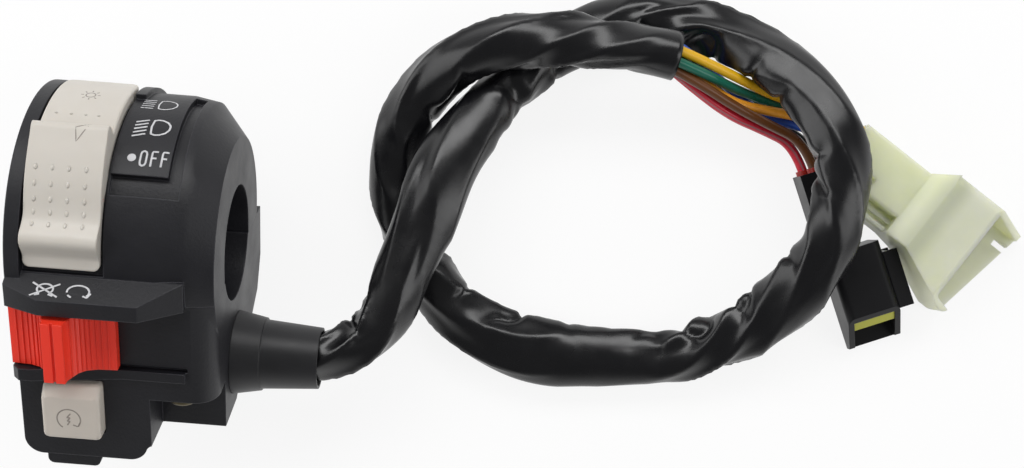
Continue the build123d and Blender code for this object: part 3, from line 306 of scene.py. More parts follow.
# Screws in yellow-passivated zinc over steel, dulled by handling
zinc = metal("yellow_passivated_zinc", "#625b49", 0.44, 0.3, 0.008)
# Tin over copper terminals
tin = metal("tin_plate", "#b9b8b4", 0.35, 0.25, 0.004)
# Nitrile rubber boot: black, soft sheen, slightly bloomed
boot_rubber = moulded("nitrile_rubber", "#18181a", "#222225", 0.46, 0.7, 0.02, edge_mm=0.3)
# Cable tie in black nylon
tie_nylon = moulded("tie_nylon", "#1a1a1c", "#202022", 0.40, 0.5, 0.006)
# Silicone seals, moulded: yellow and red, with a soft shine
seal_yellow = moulded("yellow_silicone", "#b4b424", "#a4a31c", 0.38, 0.8, 0.006, scatter=0.2, edge_mm=0.2)
seal_red = moulded("red_silicone", "#b02a22", "#9c231c", 0.38, 0.8, 0.006, scatter=0.2, edge_mm=0.2)
# Black polyamide of the small connector, from a polished tool: smoother than the housing
connector_black = moulded("black_polyamide", "#121214", "#19191b", 0.38, 0.5, 0.006, edge_mm=0.25,
                          specular=0.2)
# White pad-printed ink on the housing: thin, dull, a little worn
white_ink = moulded("white_pad_print", "#d2d2d4", "#b9b9bd", 0.55, 0.3, 0.01, patch_mm=0.8)
# Engraved lines in the grey controls, filled with painted shade: a grey darker than the controls
engraved = moulded("painted_shade_in_engraving", "#948d85", "#857e76", 0.60, 0.3, 0.01, patch_mm=0.8)

# Natural nylon of the large connector: pale yellow-green, light passes through its thin walls,
# and one band of painted shade lies across it where the terminals inside are, 15 mm behind the connector's
# corner
TERMINAL_SHADE_X = -15.0
large_corner = CONNECTORS["large_connector"]["corner"]
large_turn = CONNECTORS["large_connector"]["turn"]
connector_natural = new_material("natural_nylon")
natural_place = object_place(connector_natural)
natural_flow = add(connector_natural, "ShaderNodeTexNoise", {"Vector": natural_place, "Scale": 1 / (6 * MM),
                                                             "Detail": 3.0})
natural_tone = add(connector_natural, "ShaderNodeMix",
                   {"Factor": natural_flow.outputs["Fac"], "A": linear("#dde2bb"), "B": linear("#eaedd2")},
                   data_type="RGBA")
natural_axis = add(connector_natural, "ShaderNodeMapping",
                   {"Vector": natural_place, "Location": (-large_corner[0] * MM, -large_corner[1] * MM, 0)})
natural_turn = add(connector_natural, "ShaderNodeVectorRotate",
                   {"Vector": natural_axis.outputs[0], "Axis": (0, 0, 1),
                    "Angle": math.radians(-large_turn)})
natural_along = add(connector_natural, "ShaderNodeSeparateXYZ", {"Vector": natural_turn.outputs[0]})
natural_offset = add(connector_natural, "ShaderNodeMath",
                     {0: natural_along.outputs["X"], 1: TERMINAL_SHADE_X * MM}, operation="SUBTRACT")
natural_away = add(connector_natural, "ShaderNodeMath", {0: natural_offset.outputs[0]},
                   operation="ABSOLUTE")
# Painted shade: a grey band, strongest in its middle, where the terminals lie inside
terminal_shade_band = add(connector_natural, "ShaderNodeMapRange",
                   {"Value": natural_away.outputs[0], "From Min": 0.4 * MM, "From Max": 4.0 * MM,
                    "To Min": 0.7, "To Max": 0.0}, interpolation_type="SMOOTHSTEP")
natural_shade = add(connector_natural, "ShaderNodeMix",
                    {"Factor": terminal_shade_band.outputs["Result"], "A": natural_tone.outputs["Result"],
                     "B": linear("#b4b8a4")}, data_type="RGBA")
natural_grain = add(connector_natural, "ShaderNodeTexNoise", {"Vector": natural_place,
                                                              "Scale": 1 / (0.5 * MM)})
natural_edge = add(connector_natural, "ShaderNodeBevel", {"Radius": 0.7 * MM}, samples=6)
natural_bump = add(connector_natural, "ShaderNodeBump", {"Height": natural_grain.outputs["Fac"],
                                                         "Strength": 0.4, "Distance": 0.006 * MM,
                                                         "Normal": natural_edge.outputs["Normal"]})
natural_shader = add(connector_natural, "ShaderNodeBsdfPrincipled",
                     {"Base Color": natural_shade.outputs["Result"], "Roughness": 0.36, "IOR": 1.53,
                      "Normal": natural_bump.outputs["Normal"], "Subsurface Weight": 0.85,
                      "Subsurface Radius": (0.006, 0.006, 0.0034), "Subsurface Scale": 1.0,
                      "Transmission Weight": 0.18})
add(connector_natural, "ShaderNodeOutputMaterial", {"Surface": natural_shader.outputs[0]})

# Soft PVC tube, blown thin and glossy: sharp highlights on its creases, and shallow dents 7 mm wide
sleeve_pvc = new_material("soft_black_pvc")
sleeve_place = object_place(sleeve_pvc)
sleeve_dents = add(sleeve_pvc, "ShaderNodeTexNoise", {"Vector": sleeve_place, "Scale": 1 / (7 * MM),
                                                      "Detail": 3.0, "Roughness": 0.5})
sleeve_gloss = add(sleeve_pvc, "ShaderNodeMapRange", {"Value": sleeve_dents.outputs["Fac"],
                                                      "From Min": 0.3, "From Max": 0.7,
                                                      "To Min": 0.22, "To Max": 0.32})
sleeve_bump = add(sleeve_pvc, "ShaderNodeBump", {"Height": sleeve_dents.outputs["Fac"], "Strength": 0.4,
                                                 "Distance": 0.16 * MM})
sleeve_shader = add(sleeve_pvc, "ShaderNodeBsdfPrincipled",
                    {"Base Color": linear("#0a0a0d"), "Roughness": sleeve_gloss.outputs["Result"],
                     "IOR": 1.54, "Normal": sleeve_bump.outputs["Normal"]})
add(sleeve_pvc, "ShaderNodeOutputMaterial", {"Surface": sleeve_shader.outputs[0]})


def wire_insulation(name, colour, stripe=None, stripe_half=0.0):
    """Extruded PVC insulation: smooth, soft gloss, with a printed stripe that winds round it, as
    wide to each side as stripe_half in radians."""
    material = new_material(name)
    place = object_place(material)
    dust = add(material, "ShaderNodeTexNoise", {"Vector": place, "Scale": 1 / (2.5 * MM), "Detail": 3.0})
    gloss = add(material, "ShaderNodeMapRange", {"Value": dust.outputs["Fac"], "From Min": 0.3,
                                                 "From Max": 0.7, "To Min": 0.26, "To Max": 0.40})
    bump = add(material, "ShaderNodeBump", {"Height": dust.outputs["Fac"], "Strength": 0.3,
                                            "Distance": 0.02 * MM})
    shader = add(material, "ShaderNodeBsdfPrincipled",
                 {"Base Color": linear(colour), "Roughness": gloss.outputs["Result"], "IOR": 1.53,
                  "Normal": bump.outputs["Normal"]})
    if stripe:
        wound = add(material, "ShaderNodeAttribute", attribute_name="stripe_side")
        facing = add(material, "ShaderNodeSeparateXYZ", {"Vector": wound.outputs["Vector"]})
        edge = math.cos(stripe_half)
        printed = add(material, "ShaderNodeMapRange",
                      {"Value": facing.outputs["X"], "From Min": edge - 0.03, "From Max": edge + 0.03})
        tone = add(material, "ShaderNodeMix", {"Factor": printed.outputs["Result"], "A": linear(colour),
                                               "B": linear(stripe)}, data_type="RGBA")
        material.node_tree.links.new(tone.outputs["Result"], shader.inputs["Base Color"])
    add(material, "ShaderNodeOutputMaterial", {"Surface": shader.outputs[0]})
    return material


wire_pvc = {
    "yellow": wire_insulation("yellow_pvc", "#dfad14"),
    "orange": wire_insulation("orange_pvc", "#e0962a", "#ec5a40", 0.5),
    "blue": wire_insulation("blue_pvc", "#2350b0"),
    "green": wire_insulation("green_pvc", "#04624e"),
    "light_green": wire_insulation("light_green_pvc", "#1c8a64"),
    "red": wire_insulation("red_pvc", "#d6213a", "#8c8c90", 0.2),
    "brown": wire_insulation("brown_pvc", "#5e3512"),
    "black": wire_insulation("black_pvc", "#161618", "#d5d5d2", 0.35),
}

node_materials = {
    "upper_housing": housing_nylon, "lower_housing": housing_nylon, "light_lever": lever_abs,
    "light_carrier": carrier_acetal, "light_bridge": brass, "light_contact_plate": phenolic,
    "light_tracks": brass, "light_detent_ball": spring_steel, "light_detent_spring": spring_steel,
    "stop_slider": slider_abs, "stop_carrier": carrier_acetal, "stop_bridge": brass,
    "stop_contact_plate": phenolic, "stop_pads": brass, "stop_detent_ball": spring_steel,
    "stop_detent_spring": spring_steel, "start_button": button_abs, "start_contact_bar": brass,
    "start_contact_plate": phenolic, "start_contact_posts": brass, "start_return_spring": spring_steel,
    "clamp_screws": zinc, "clamp_screw_inserts": brass, "cable_boot": boot_rubber,
    "cable_tie": tie_nylon, "large_connector": connector_natural, "large_connector_pins": tin,
    "small_connector": connector_black, "small_connector_seal": seal_yellow,
    "small_connector_sockets": tin, "wire_seals": seal_red,
}
for node_name, node_material in node_materials.items():
    for node_slot in frame["nodes"][node_name].material_slots:
        node_slot.material = node_material


# Shells with smooth curved faces

node_body = {node: body for body, nodes in frame["record"]["behaviour"]["bodies"].items() for node in nodes}


def finished_shell(node, crease_degrees=28, round_mm=0.0, round_from_t=0.0):
    """A merged copy of a CAD node whose curved faces are shaded smooth up to their edges. Where it
    is given, round_mm rounds the outer edges that reach beyond round_from_t, as the moulds do."""
    bm = bmesh.new()
    bm.from_mesh(frame["nodes"][node].data)
    bmesh.ops.remove_doubles(bm, verts=bm.verts, dist=0.001 * MM)
    if round_mm:
        bmesh.ops.dissolve_limit(bm, angle_limit=math.radians(0.5), verts=bm.verts, edges=bm.edges)
        sharp = [edge for edge in bm.edges
                 if edge.is_convex and edge.calc_face_angle() > math.radians(crease_degrees)
                 and max(block_place(vertex.co)[2] for vertex in edge.verts) > round_from_t]
        bmesh.ops.bevel(bm, geom=sharp, offset=round_mm * MM, offset_type="OFFSET", affect="EDGES",
                        segments=3, profile=0.5, material=-1, clamp_overlap=False)
        bmesh.ops.triangulate(bm, faces=bm.faces)
    for edge in bm.edges:
        edge.smooth = edge.is_manifold and edge.calc_face_angle() < math.radians(crease_degrees)
    made = finished_mesh(node + "_shell", bm, node_materials[node], smooth=True)
    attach(made, node_body[node])
    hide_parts(node)


for shell_node in ("upper_housing", "lower_housing", "light_lever", "stop_slider", "cable_boot",
                   "cable_tie", "large_connector", "small_connector", "small_connector_seal",
                   "wire_seals"):
    finished_shell(shell_node)
finished_shell("start_button", round_mm=0.8, round_from_t=BUTTON_CAP_T)


# Signs, grips and small parts of the switch

def skin_of(node):
    """The node's surface, for laying pieces on it."""
    bm = bmesh.new()
    bm.from_mesh(frame["nodes"][node].data)
    tree = BVHTree.FromBMesh(bm)
    bm.free()
    return tree


housing_skin = skin_of("upper_housing")
lever_skin = skin_of("light_lever")
slider_skin = skin_of("stop_slider")
button_skin = skin_of("start_button")
button_low, button_high = block_range("start_button")
slider_low, slider_high = block_range("stop_slider")
lever_low, lever_high = block_range("light_lever")

# Where the rays that lay pieces on the switch start, clear of it: how far outside the drum, out along
# t and up, in mm
OUTSIDE_DRUM = 12
OUTSIDE_T = 45
OVER_SHELF_UP = 6


def toward_drum(x, degrees):
    """A ray to the drum's axis from outside, round the drum."""
    start = drum_point(DRUM_R + OUTSIDE_DRUM, degrees, x)
    return start, (drum_point(0, degrees, x) - start).normalized()


def toward_front(x, up):
    """A ray into the block's front face."""
    start = tilted(x, up, OUTSIDE_T)
    return start, (tilted(x, up, 0) - start).normalized()


def toward_shelf(x, t):
    """A ray down on to the shelf."""
    start = tilted(x, OVER_SHELF_UP, t)
    return start, (tilted(x, 0, t) - start).normalized()


def arc(centre_u, centre_v, wide, high, start, end, steps=18):
    """Points on an ellipse, by its half sizes in mm and its start and end in degrees."""
    turns = [math.radians(start + (end - start) * i / steps) for i in range(steps + 1)]
    return [(centre_u + wide * math.cos(a), centre_v + high * math.sin(a)) for a in turns]


def drawn_lines(strokes, width, thickness):
    """A bmesh of flat, round-ended lines, in mm on the plane z = 0. A stroke is its points, and
    whether it is closed."""
    data = bpy.data.curves.new("strokes", "CURVE")
    data.dimensions = "3D"
    for points, closed in strokes:
        line = data.splines.new("NURBS")
        line.points.add(len(points) - 1)
        for point, (u, v) in zip(line.points, points):
            point.co = (u, v, 0, 1)
        line.order_u = 2
        line.use_cyclic_u = closed
        line.use_endpoint_u = not closed
    data.resolution_u = 5
    data.bevel_depth = width / 2
    data.bevel_resolution = 1
    data.use_fill_caps = True
    holder = bpy.data.objects.new("strokes", data)
    bpy.context.scene.collection.objects.link(holder)
    mesh = bpy.data.meshes.new_from_object(holder)
    bpy.data.objects.remove(holder)
    bm = bmesh.new()
    bm.from_mesh(mesh)
    bpy.data.meshes.remove(mesh)
    bmesh.ops.scale(bm, verts=bm.verts, vec=(1, 1, thickness / width))
    return bm


def laid(name, artwork, skin, ray_at, lift, material, body):
    """Lays flat artwork on a surface: each point goes to where its ray meets the skin."""
    for vertex in artwork.verts:
        start, way = ray_at(vertex.co.x, vertex.co.y)
        hit = skin.ray_cast(start, way)[0]
        vertex.co = hit - way * (lift + vertex.co.z) * MM
    bmesh.ops.recalc_face_normals(artwork, faces=artwork.faces)
    made = finished_mesh(name, artwork, material, smooth=True)
    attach(made, body)


# The ink's thickness, its lift off the plastic and the widths of its lines, in mm, and the thickness
# of the painted shade that fills an engraved line
INK = 0.06
INK_LIFT = 0.04
LINE = 0.38
THIN_LINE = 0.28
SHELF_LINE = 0.36
ENGRAVING_SHADE = 0.04


def beam_sign(rays_fall, share_high=1.0):
    """A headlamp's outline with five rays to its left, level or falling, 6.3 x 4 mm between the
    middles of its lines."""
    lamp = [(0.2, 1.75), (0.1, 0.9), (0.0, 0), (0.1, -0.9), (0.2, -1.75), (0.9, -2.0), (1.7, -1.9),
            (2.7, -1.4), (3.25, -0.6), (3.3, 0), (3.25, 0.6), (2.7, 1.4), (1.7, 1.9), (0.9, 2.0)]
    strokes = [(lamp, True)]
    for i in range(5):
        v = 1.8 - 0.9 * i
        strokes.append(([(-0.75, v), (-3.0, v - rays_fall)], False))
    return [([(u, v * share_high) for u, v in points], closed) for points, closed in strokes]


def round_label(x, degrees):
    """Rays that lay artwork round the drum, with its middle at x and degrees."""
    return lambda u, v: toward_drum(x + u, degrees + math.degrees(v / DRUM_R))


# OFF, with its dot: a round letter, two alike and a flat ball
off_strokes = [([(0.0, 0.85), (0.12, 1.3), (0.5, 1.5), (0.9, 1.3), (1.05, 0.85), (1.05, -0.85),
                 (0.9, -1.3), (0.5, -1.5), (0.12, -1.3), (0.0, -0.85)], True)]
for left in (1.95, 3.8):
    off_strokes += [([(left, -1.5), (left, 1.5), (left + 1.05, 1.5)], False),
                    ([(left, 0.15), (left + 0.85, 0.15)], False)]
off_word = drawn_lines(off_strokes, LINE, INK)
bmesh.ops.create_uvsphere(off_word, u_segments=24, v_segments=8, radius=0.78,
                          matrix=Matrix.Translation((-1.55, 0, 0)) @ Matrix.Diagonal((1, 1, 0.04, 1)))

# Stop and run signs, with their middles at SHELF_T on the shelf's top, which falls 2.7 mm over 4.9 mm
SHELF_T = 24.9
SHELF_SLOPE = math.atan2(2.7, 4.9)


def shelf_label(x):
    """Rays that lay artwork on the shelf, with its middle at x."""
    return lambda u, v: toward_shelf(x + u, SHELF_T - v * math.cos(SHELF_SLOPE))


stop_strokes = [(arc(0, 0.15, 1.4, 1.05, -55, 235), False), ([(-2.4, -1.35), (2.4, 1.35)], False),
                ([(-2.4, 1.35), (2.4, -1.35)], False), ([(-1.6, -1.2), (-0.75, -0.9)], False),
                ([(1.6, -1.2), (0.75, -0.9)], False)]
run_strokes = [(arc(0, 0, 1.95, 1.35, -35, 190), False), (arc(0, 0, 1.95, 1.35, 212, 240, 4), False),
               ([(0.95, -0.75), (1.75, -1.05), (2.25, -0.15)], False)]
printed_signs = (
    ("high_beam_sign", drawn_lines(beam_sign(0.0, 0.93), THIN_LINE, INK), round_label(3.9, 87.5)),
    ("low_beam_sign", drawn_lines(beam_sign(0.75), LINE, INK), round_label(4.3, 70.2)),
    ("off_sign", off_word, round_label(3.8, 53.4)),
    ("stop_sign", drawn_lines(stop_strokes, SHELF_LINE, INK), shelf_label(-10.4)),
    ("run_sign", drawn_lines(run_strokes, SHELF_LINE, INK), shelf_label(-4.6)),
)
for sign_name, sign_artwork, sign_rays in printed_signs:
    laid(sign_name, sign_artwork, housing_skin, sign_rays, INK_LIFT, white_ink, "housing")

# Engraved start sign on the button, in painted shade: an arrow round a spark
button_label_x = (button_low[0] + button_high[0]) / 2 - 0.35
button_label_up = -26.9
spark = [(0.35, 1.25), (-0.35, 0.35), (0.25, 0.35), (-0.3, -0.4), (0.2, -0.4), (-0.3, -1.25)]
start_strokes = [(arc(0, 0, 2.15, 2.15, -42, 236, 28), False), (spark, False),
                 ([(0.7, -1.15), (1.6, -1.44), (2.05, -0.55)], False)]
laid("start_sign", drawn_lines(start_strokes, THIN_LINE, ENGRAVING_SHADE), button_skin,
     lambda u, v: toward_front(button_label_x + u, button_label_up + v), 0.0, engraved, "button")

# Engraved pointer and lamp sign on the lever's sheet, in painted shade: a plain lamp with rays
lever_x = (lever_low[0] + lever_high[0]) / 2


def lever_label(x, degrees):
    """Rays that lay artwork round the lever's sheet."""
    return lambda u, v: toward_drum(x + u, degrees + math.degrees(v / LEVER_R))


pointer = [(1.05, 1.5), (-1.5, 0.55), (-1.15, -1.6)]
laid("lever_pointer", drawn_lines([(pointer, True)], 0.2, ENGRAVING_SHADE), lever_skin, lever_label(-5.6, 57.4),
     0.0, engraved, "lever")
lamp_strokes = [(arc(0, 0, 0.85, 0.85, 0, 345, 20), True)]
for i in range(8):
    way = math.radians(45 * i)
    lamp_strokes.append(([(1.25 * math.cos(way), 1.25 * math.sin(way)),
                          (1.75 * math.cos(way), 1.75 * math.sin(way))], False))
laid("lever_lamp_sign", drawn_lines(lamp_strokes, 0.24, ENGRAVING_SHADE), lever_skin, lever_label(lever_x, 84.5),
     0.0, engraved, "lever")


def raised_dots(name, places, size, skin, material, body):
    """Moulded bumps on a surface round the drum: places as x and degrees, and each bump's half sizes
    across, along and high in mm."""
    bm = bmesh.new()
    for x, degrees in places:
        start, way = toward_drum(x, degrees)
        hit, normal, _, _ = skin.ray_cast(start, way)
        across = Vector((1, 0, 0))
        turned = Matrix((across, normal.cross(across), normal)).transposed().to_4x4()
        shape = Matrix.Translation(hit) @ turned @ Matrix.Diagonal((*(s * MM for s in size), 1))
        bmesh.ops.create_uvsphere(bm, u_segments=14, v_segments=8, radius=1, matrix=shape)
    made = finished_mesh(name, bm, material, smooth=True)
    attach(made, body)


grip_places = [(x, degrees) for degrees in (44, 38, 32.3, 27.3, 22.6) for x in (-13.1, -10.2, -7.3, -4.3)]
raised_dots("lever_grip_dots", grip_places, (0.34, 0.56, 0.2), lever_skin, lever_abs, "lever")
raised_dots("lever_small_dots", [(x, 70.5) for x in (-12.6, -9.9, -7.3, -5.0)], (0.28, 0.22, 0.08),
            lever_skin, lever_abs, "lever")

# Fine grip steps down both flanks of the stop slider, closer together near its fin
GRIP_STEP_WIDE = 0.26
GRIP_STEP_DEEP = 0.36
slider_x = (slider_low[0] + slider_high[0]) / 2
slider_up = (slider_low[1] + slider_high[1]) / 2
grip_step_high = slider_high[1] - slider_low[1] - 0.3
grip_steps = bmesh.new()
for side in (1, -1):
    for offset in (2.4, 3.0, 3.7, 4.4, 5.2, 6.1, 7.1, 8.2):
        x = slider_x + side * offset
        hit = slider_skin.ray_cast(*toward_front(x, slider_up))[0]
        corners = bmesh.ops.create_cube(grip_steps, size=1)["verts"]
        bmesh.ops.scale(grip_steps, verts=corners, vec=(GRIP_STEP_WIDE, grip_step_high, GRIP_STEP_DEEP))
        bmesh.ops.translate(grip_steps, verts=corners, vec=(x, slider_up, block_place(hit)[2]))
for vertex in grip_steps.verts:
    vertex.co = tilted(*vertex.co)
slider_steps = finished_mesh("slider_grip_steps", grip_steps, slider_abs)
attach(slider_steps, "slider")

# Return spring under the button: drawn wire wound on its axis
SPRING_WIRE_R = 0.25
SPRING_TURNS = 4.6
STEPS_IN_A_TURN = 28
SPRING_WIRE_SIDES = 10
spring_low, spring_high = block_range("start_return_spring")
coil_r = (spring_high[0] - spring_low[0]) / 2 - SPRING_WIRE_R
spring_length = spring_high[2] - spring_low[2]
spring_base = tilted((spring_low[0] + spring_high[0]) / 2, (spring_low[1] + spring_high[1]) / 2,
                     spring_low[2])
coil_steps = int(SPRING_TURNS * STEPS_IN_A_TURN)
coil_climb = (spring_length - 2 * SPRING_WIRE_R) * MM / coil_steps
coil_start = Matrix.Translation((coil_r * MM, 0, SPRING_WIRE_R * MM)) @ Matrix.Rotation(math.pi / 2, 4, "X")
coil = bmesh.new()
bmesh.ops.create_circle(coil, segments=SPRING_WIRE_SIDES, radius=SPRING_WIRE_R * MM, matrix=coil_start)
bmesh.ops.spin(coil, geom=coil.verts[:] + coil.edges[:], cent=(0, 0, 0), axis=(0, 0, 1),
               dvec=(0, 0, coil_climb), angle=SPRING_TURNS * 2 * math.pi, steps=coil_steps)
bmesh.ops.holes_fill(coil, edges=[edge for edge in coil.edges if edge.is_boundary], sides=SPRING_WIRE_SIDES)
bmesh.ops.recalc_face_normals(coil, faces=coil.faces)
bmesh.ops.transform(coil, verts=coil.verts,
                    matrix=Matrix.Translation(spring_base) @ Matrix.Rotation(TILT, 4, "X"))
return_coil = finished_mesh("start_return_coil", coil, spring_steel, smooth=True)
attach(return_coil, "housing")
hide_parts("start_return_spring")
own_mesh(return_coil)


# Cords

def spline(name, points):
    """A NURBS spline with the route's points, given in mm, as its control points."""
    data = bpy.data.curves.new(name, "CURVE")
    data.dimensions = "3D"
    line = data.splines.new("NURBS")
    line.points.add(len(points) - 1)
    for point, where in zip(line.points, points):
        point.co = (*(c * MM for c in where), 1)
    line.order_u = 3
    line.use_endpoint_u = True
    made = bpy.data.objects.new(name, data)
    bpy.context.scene.collection.objects.link(made)
    return made


def tube_on(name, points, diameter, steps, sides):
    """A mesh tube round the route's spline, with an even number of sides, and the points that it
    follows, in metres. Its vertices go round ring by ring."""
    curve = spline(name + "_route", points)
    curve.data.resolution_u = steps
    line = bpy.data.meshes.new_from_object(curve)
    path = [vertex.co.copy() for vertex in line.vertices]
    curve.data.bevel_depth = diameter / 2 * MM
    curve.data.bevel_resolution = sides // 2 - 2
    mesh = bpy.data.meshes.new_from_object(curve)
    mesh.name = name
    bpy.data.objects.remove(curve)
    made = bpy.data.objects.new(name, mesh)
    bpy.context.scene.collection.objects.link(made)
    for polygon in mesh.polygons:
        polygon.use_smooth = True
    return made, path


def path_length(path):
    """The length along a path's points, in metres."""
    return sum((b - a).length for a, b in zip(path, path[1:]))


# The sleeve leaves the boot to the right and makes one loop: it passes over itself near the boot, and
# its cut end lies over its first run
SLEEVE_R = 5
SLEEVE_SIDES = 48
SLEEVE_WALL = 0.5
sleeve_route = [
    (23.5, -21.5, -9), (37, -21.5, -9), (46.5, -13.5, -10), (51, 3.5, -10.5), (57, 21.5, -12.5),
    (67.5, 37, -21), (84, 50, -22.1), (100, 53, -22.1), (116, 47, -16.2), (129.5, 36, -9.2),
    (134.8, 20, -7.6), (131.5, 4.5, -9), (121.5, -8.5, -18), (106.5, -16.8, -22.1),
    (90, -18.4, -22.1), (74, -18.3, -22.1), (60.5, -12, -22.1), (49.5, 0.5, -22.1),
    (44, 14.5, -22.1), (46.8, 30.5, -20), (57, 41, -14), (72, 44.2, -10.5), (88, 45, -10.5),
    (99.5, 43.3, -12),
]
sleeve, sleeve_path = tube_on("harness_sleeve_pvc", sleeve_route, 2 * SLEEVE_R, 24, SLEEVE_SIDES)
sleeve.data.materials.append(sleeve_pvc)

# How wide the loose skin lies along its run: the distance from the boot in mm, and its share of the
# round tube's width
SLEEVE_WIDTHS = [(0, 1.0), (20, 1.05), (45, 1.22), (65, 1.26), (85, 1.1), (110, 1.15), (140, 1.2),
                 (170, 1.15), (200, 1.2), (235, 1.32), (260, 1.28), (285, 1.08), (310, 1.15),
                 (340, 1.1), (380, 1.0)]

# How far the skin's shapes stand in or out, as shares of the tube's radius
BULGE_DEPTH = 0.16
LAP_DEPTH = 0.2
FACE_DEPTH = 0.2
FOLD_DEPTH = 0.26
SKIN_SLACK = 0.02

# How the skin runs along the sleeve: its twist in radians in each mm, the plain lengths at the boot
# and at the cut end in mm, how many rings away a bend is measured, and its gap over the table in mm
SKIN_TWIST = 0.045
PLAIN_AT_BOOT = 14
PLAIN_AT_END = 8
BEND_RINGS = 14
OVER_TABLE = 0.06


def lying_width(travelled):
    """The share of the round width at a distance from the boot."""
    for (start, first), (end, second) in zip(SLEEVE_WIDTHS, SLEEVE_WIDTHS[1:]):
        if travelled <= end:
            share = (travelled - start) / (end - start)
            return first + (second - first) * share * share * (3 - 2 * share)
    return 1.0


def ridge(value, width):
    """One at a noise's zero line and none away from it, which gives a winding crease."""
    return max(0.0, 1 - abs(value) / width) ** 2


def facet(turn):
    """A rounded five-sided outline's distance from its round one, from -0.5 to 0.5, by its turn."""
    half_face = math.pi / 5
    nearest = math.cos(half_face)
    reach = nearest / math.cos(turn % (2 * half_face) - half_face)
    return (reach - nearest) / (1 - nearest) - 0.5


def pleat(turn):
    """One lap of a fold: a slow rise round the sleeve and a short drop at its edge, from -0.5 to 0.35."""
    share = turn % 1.0
    rise = 0.85
    return share - 0.5 if share < rise else rise - 0.5 - (share - rise) / (1 - rise) * rise


def crease(sleeve_object, path):
    """Shapes the loose skin: it lies wide and low, with slow bulges, long laps that wind round it,
    pressed flat faces and a few deep soft folds across the inside of each bend. Each noise is read
    at a fixed distance from the others, so that no two shapes run together."""
    vertices = sleeve_object.data.vertices
    rings = len(path)
    whole = path_length(path) / MM
    travelled = 0.0
    for i in range(rings):
        if i:
            travelled += (path[i] - path[i - 1]).length / MM
        along = (path[min(i + 1, rings - 1)] - path[max(i - 1, 0)]).normalized()
        sideways = along.cross(Vector((0, 0, 1))).normalized()
        bend = path[max(i - BEND_RINGS, 0)] + path[min(i + BEND_RINGS, rings - 1)] - 2 * path[i]
        bend_size = min(1.0, bend.length / MM / 3.0)
        ends = min(1.0, travelled / PLAIN_AT_BOOT, max(0.0, (whole - travelled) / PLAIN_AT_END))
        wide = lying_width(travelled)
        low = 1.0 / wide ** 0.8
        twist = SKIN_TWIST * travelled + 1.2 * noise.noise((travelled / 50, 5, 5))
        lap = max(0.0, min(1.0, 0.3 + 1.8 * noise.noise((travelled / 34, 2, 14))))
        pressed = max(0.1, min(1.0, 0.55 + 1.6 * noise.noise((travelled / 28, 11, 3))))
        for j in range(SLEEVE_SIDES):
            vertex = vertices[i * SLEEVE_SIDES + j]
            out = vertex.co - path[i]
            out -= along * out.dot(along)
            side = 2 * math.pi * j / SLEEVE_SIDES
            around = Vector((math.cos(side), math.sin(side)))
            bulge = BULGE_DEPTH * noise.noise((around.x * 0.6, around.y * 0.6, travelled / 20))
            wander = 0.4 * noise.noise((around.x, around.y + 6, travelled / 26))
            laps = LAP_DEPTH * lap * pleat((side + twist) / math.pi + wander)
            faces = FACE_DEPTH * pressed * facet(side + 1.6 * twist + 1.1 * wander)
            inside = max(0.0, out.normalized().dot(bend.normalized())) * bend_size if bend.length else 0.0
            fold = ridge(noise.noise((around.x * 0.4, around.y * 0.4, travelled / 9 + 3)), 0.3)
            change = bulge + laps + faces - FOLD_DEPTH * inside * fold
            out *= 1 + ends * change - SKIN_SLACK
            flat = out.dot(sideways)
            up = out - sideways * flat
            vertex.co = path[i] + sideways * flat * wide + up * low
            vertex.co.z -= (1 - low) * SLEEVE_R * MM * ends
            vertex.co.z = max(vertex.co.z, (TABLE_Z + OVER_TABLE) * MM)


crease(sleeve, sleeve_path)
sleeve_wall = sleeve.modifiers.new("wall", "SOLIDIFY")
sleeve_wall.thickness = SLEEVE_WALL * MM
sleeve_wall.offset = -1
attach(sleeve, "housing")
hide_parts("harness_sleeve")

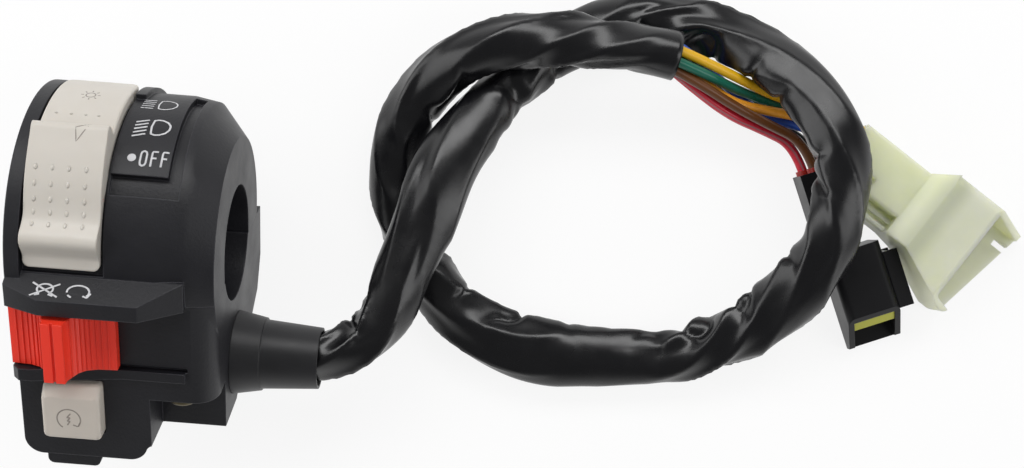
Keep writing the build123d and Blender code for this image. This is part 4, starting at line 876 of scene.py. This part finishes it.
# The wires from the sleeve's cut end to their connectors
WIRE_D = 2
WIRE_SIDES = 16
wire_routes = {
    "yellow": [(98.2, 44.8, -9.4), (104.6, 42.9, -11.9), (112.3, 40.5, -15.8), (120, 38.1, -20.3),
               (127, 36.4, -20.6)],
    "orange": [(98.2, 43.5, -11.8), (104.6, 39.6, -15), (112.3, 35.4, -18), (120, 34.6, -19.4),
               (127, 33.9, -19.4)],
    "blue": [(98.2, 46.2, -11.3), (104.6, 42.9, -14.7), (112.3, 38.3, -21.3), (120, 33.4, -23),
             (127, 32.2, -21.4)],
    "green": [(98.2, 42.4, -9.2), (104.6, 40.5, -11.3), (112.3, 38.4, -17.8), (120, 36.6, -21.6),
              (127, 34.4, -22.6)],
    "light_green": [(98.2, 45.6, -13.5), (104.6, 41.9, -18), (112.3, 37.6, -23.6), (120, 36.6, -25.2),
                    (127, 35.8, -24.8)],
    "red": [(98.2, 41.3, -13.4), (104.6, 37, -15.4), (112, 32.9, -18), (119, 31, -21.4)],
    "brown": [(98.2, 40.9, -11), (104.6, 38.3, -12.5), (112.3, 34.6, -15.4), (119.5, 32, -18.8)],
    "black": [(98.2, 43.1, -14.5), (104.6, 38.9, -17.8), (112.3, 34.4, -21.4), (120, 33, -25.6)],
}
# Each wire's connector, and how far across its rear face and up from the table the wire goes in
wire_entries = {
    "yellow": ("large_connector", 2.6, 8.7), "orange": ("large_connector", 0, 8.7),
    "blue": ("large_connector", -2.6, 8.7), "green": ("large_connector", 0, 5.3),
    "light_green": ("large_connector", 2.6, 5.3), "red": ("small_connector", -1.7, 2.9),
    "brown": ("small_connector", 0, 5.9), "black": ("small_connector", 1.7, 2.9),
}


def straight_end(connector, across, up):
    """The ends of a wire's straight stretch into its connector, in mm."""
    lying = CONNECTORS[connector]
    turned = Matrix.Rotation(math.radians(lying["turn"]), 4, "Z")
    place = Matrix.Translation((*lying["corner"], TABLE_Z)) @ turned
    rear_x, rear_y = lying["rear"]
    return [place @ Vector((rear_x - run, rear_y + across, up)) for run in (lying["lead"], 0)]


# Where each printed stripe starts round the wire, in radians, and how far it winds in each mm
wire_stripes = {"orange": (2.6, 0.03), "red": (2.0, -0.02), "black": (1.6, 0.05)}
for colour, route in wire_routes.items():
    whole_route = route + straight_end(*wire_entries[colour])
    wire, wire_path = tube_on("wire_" + colour + "_insulation", whole_route, WIRE_D, 14, WIRE_SIDES)
    wire.data.materials.append(wire_pvc[colour])
    if colour in wire_stripes:
        first, winding = wire_stripes[colour]
        facing = wire.data.attributes.new("stripe_side", "FLOAT_VECTOR", "POINT")
        travelled = 0.0
        for i, place in enumerate(wire_path):
            travelled += (place - wire_path[i - 1]).length / MM if i else 0.0
            for j in range(WIRE_SIDES):
                away = 2 * math.pi * j / WIRE_SIDES - first - winding * travelled
                facing.data[i * WIRE_SIDES + j].vector = (math.cos(away), math.sin(away), 0)
    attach(wire, "housing")
    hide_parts("wire_" + colour)
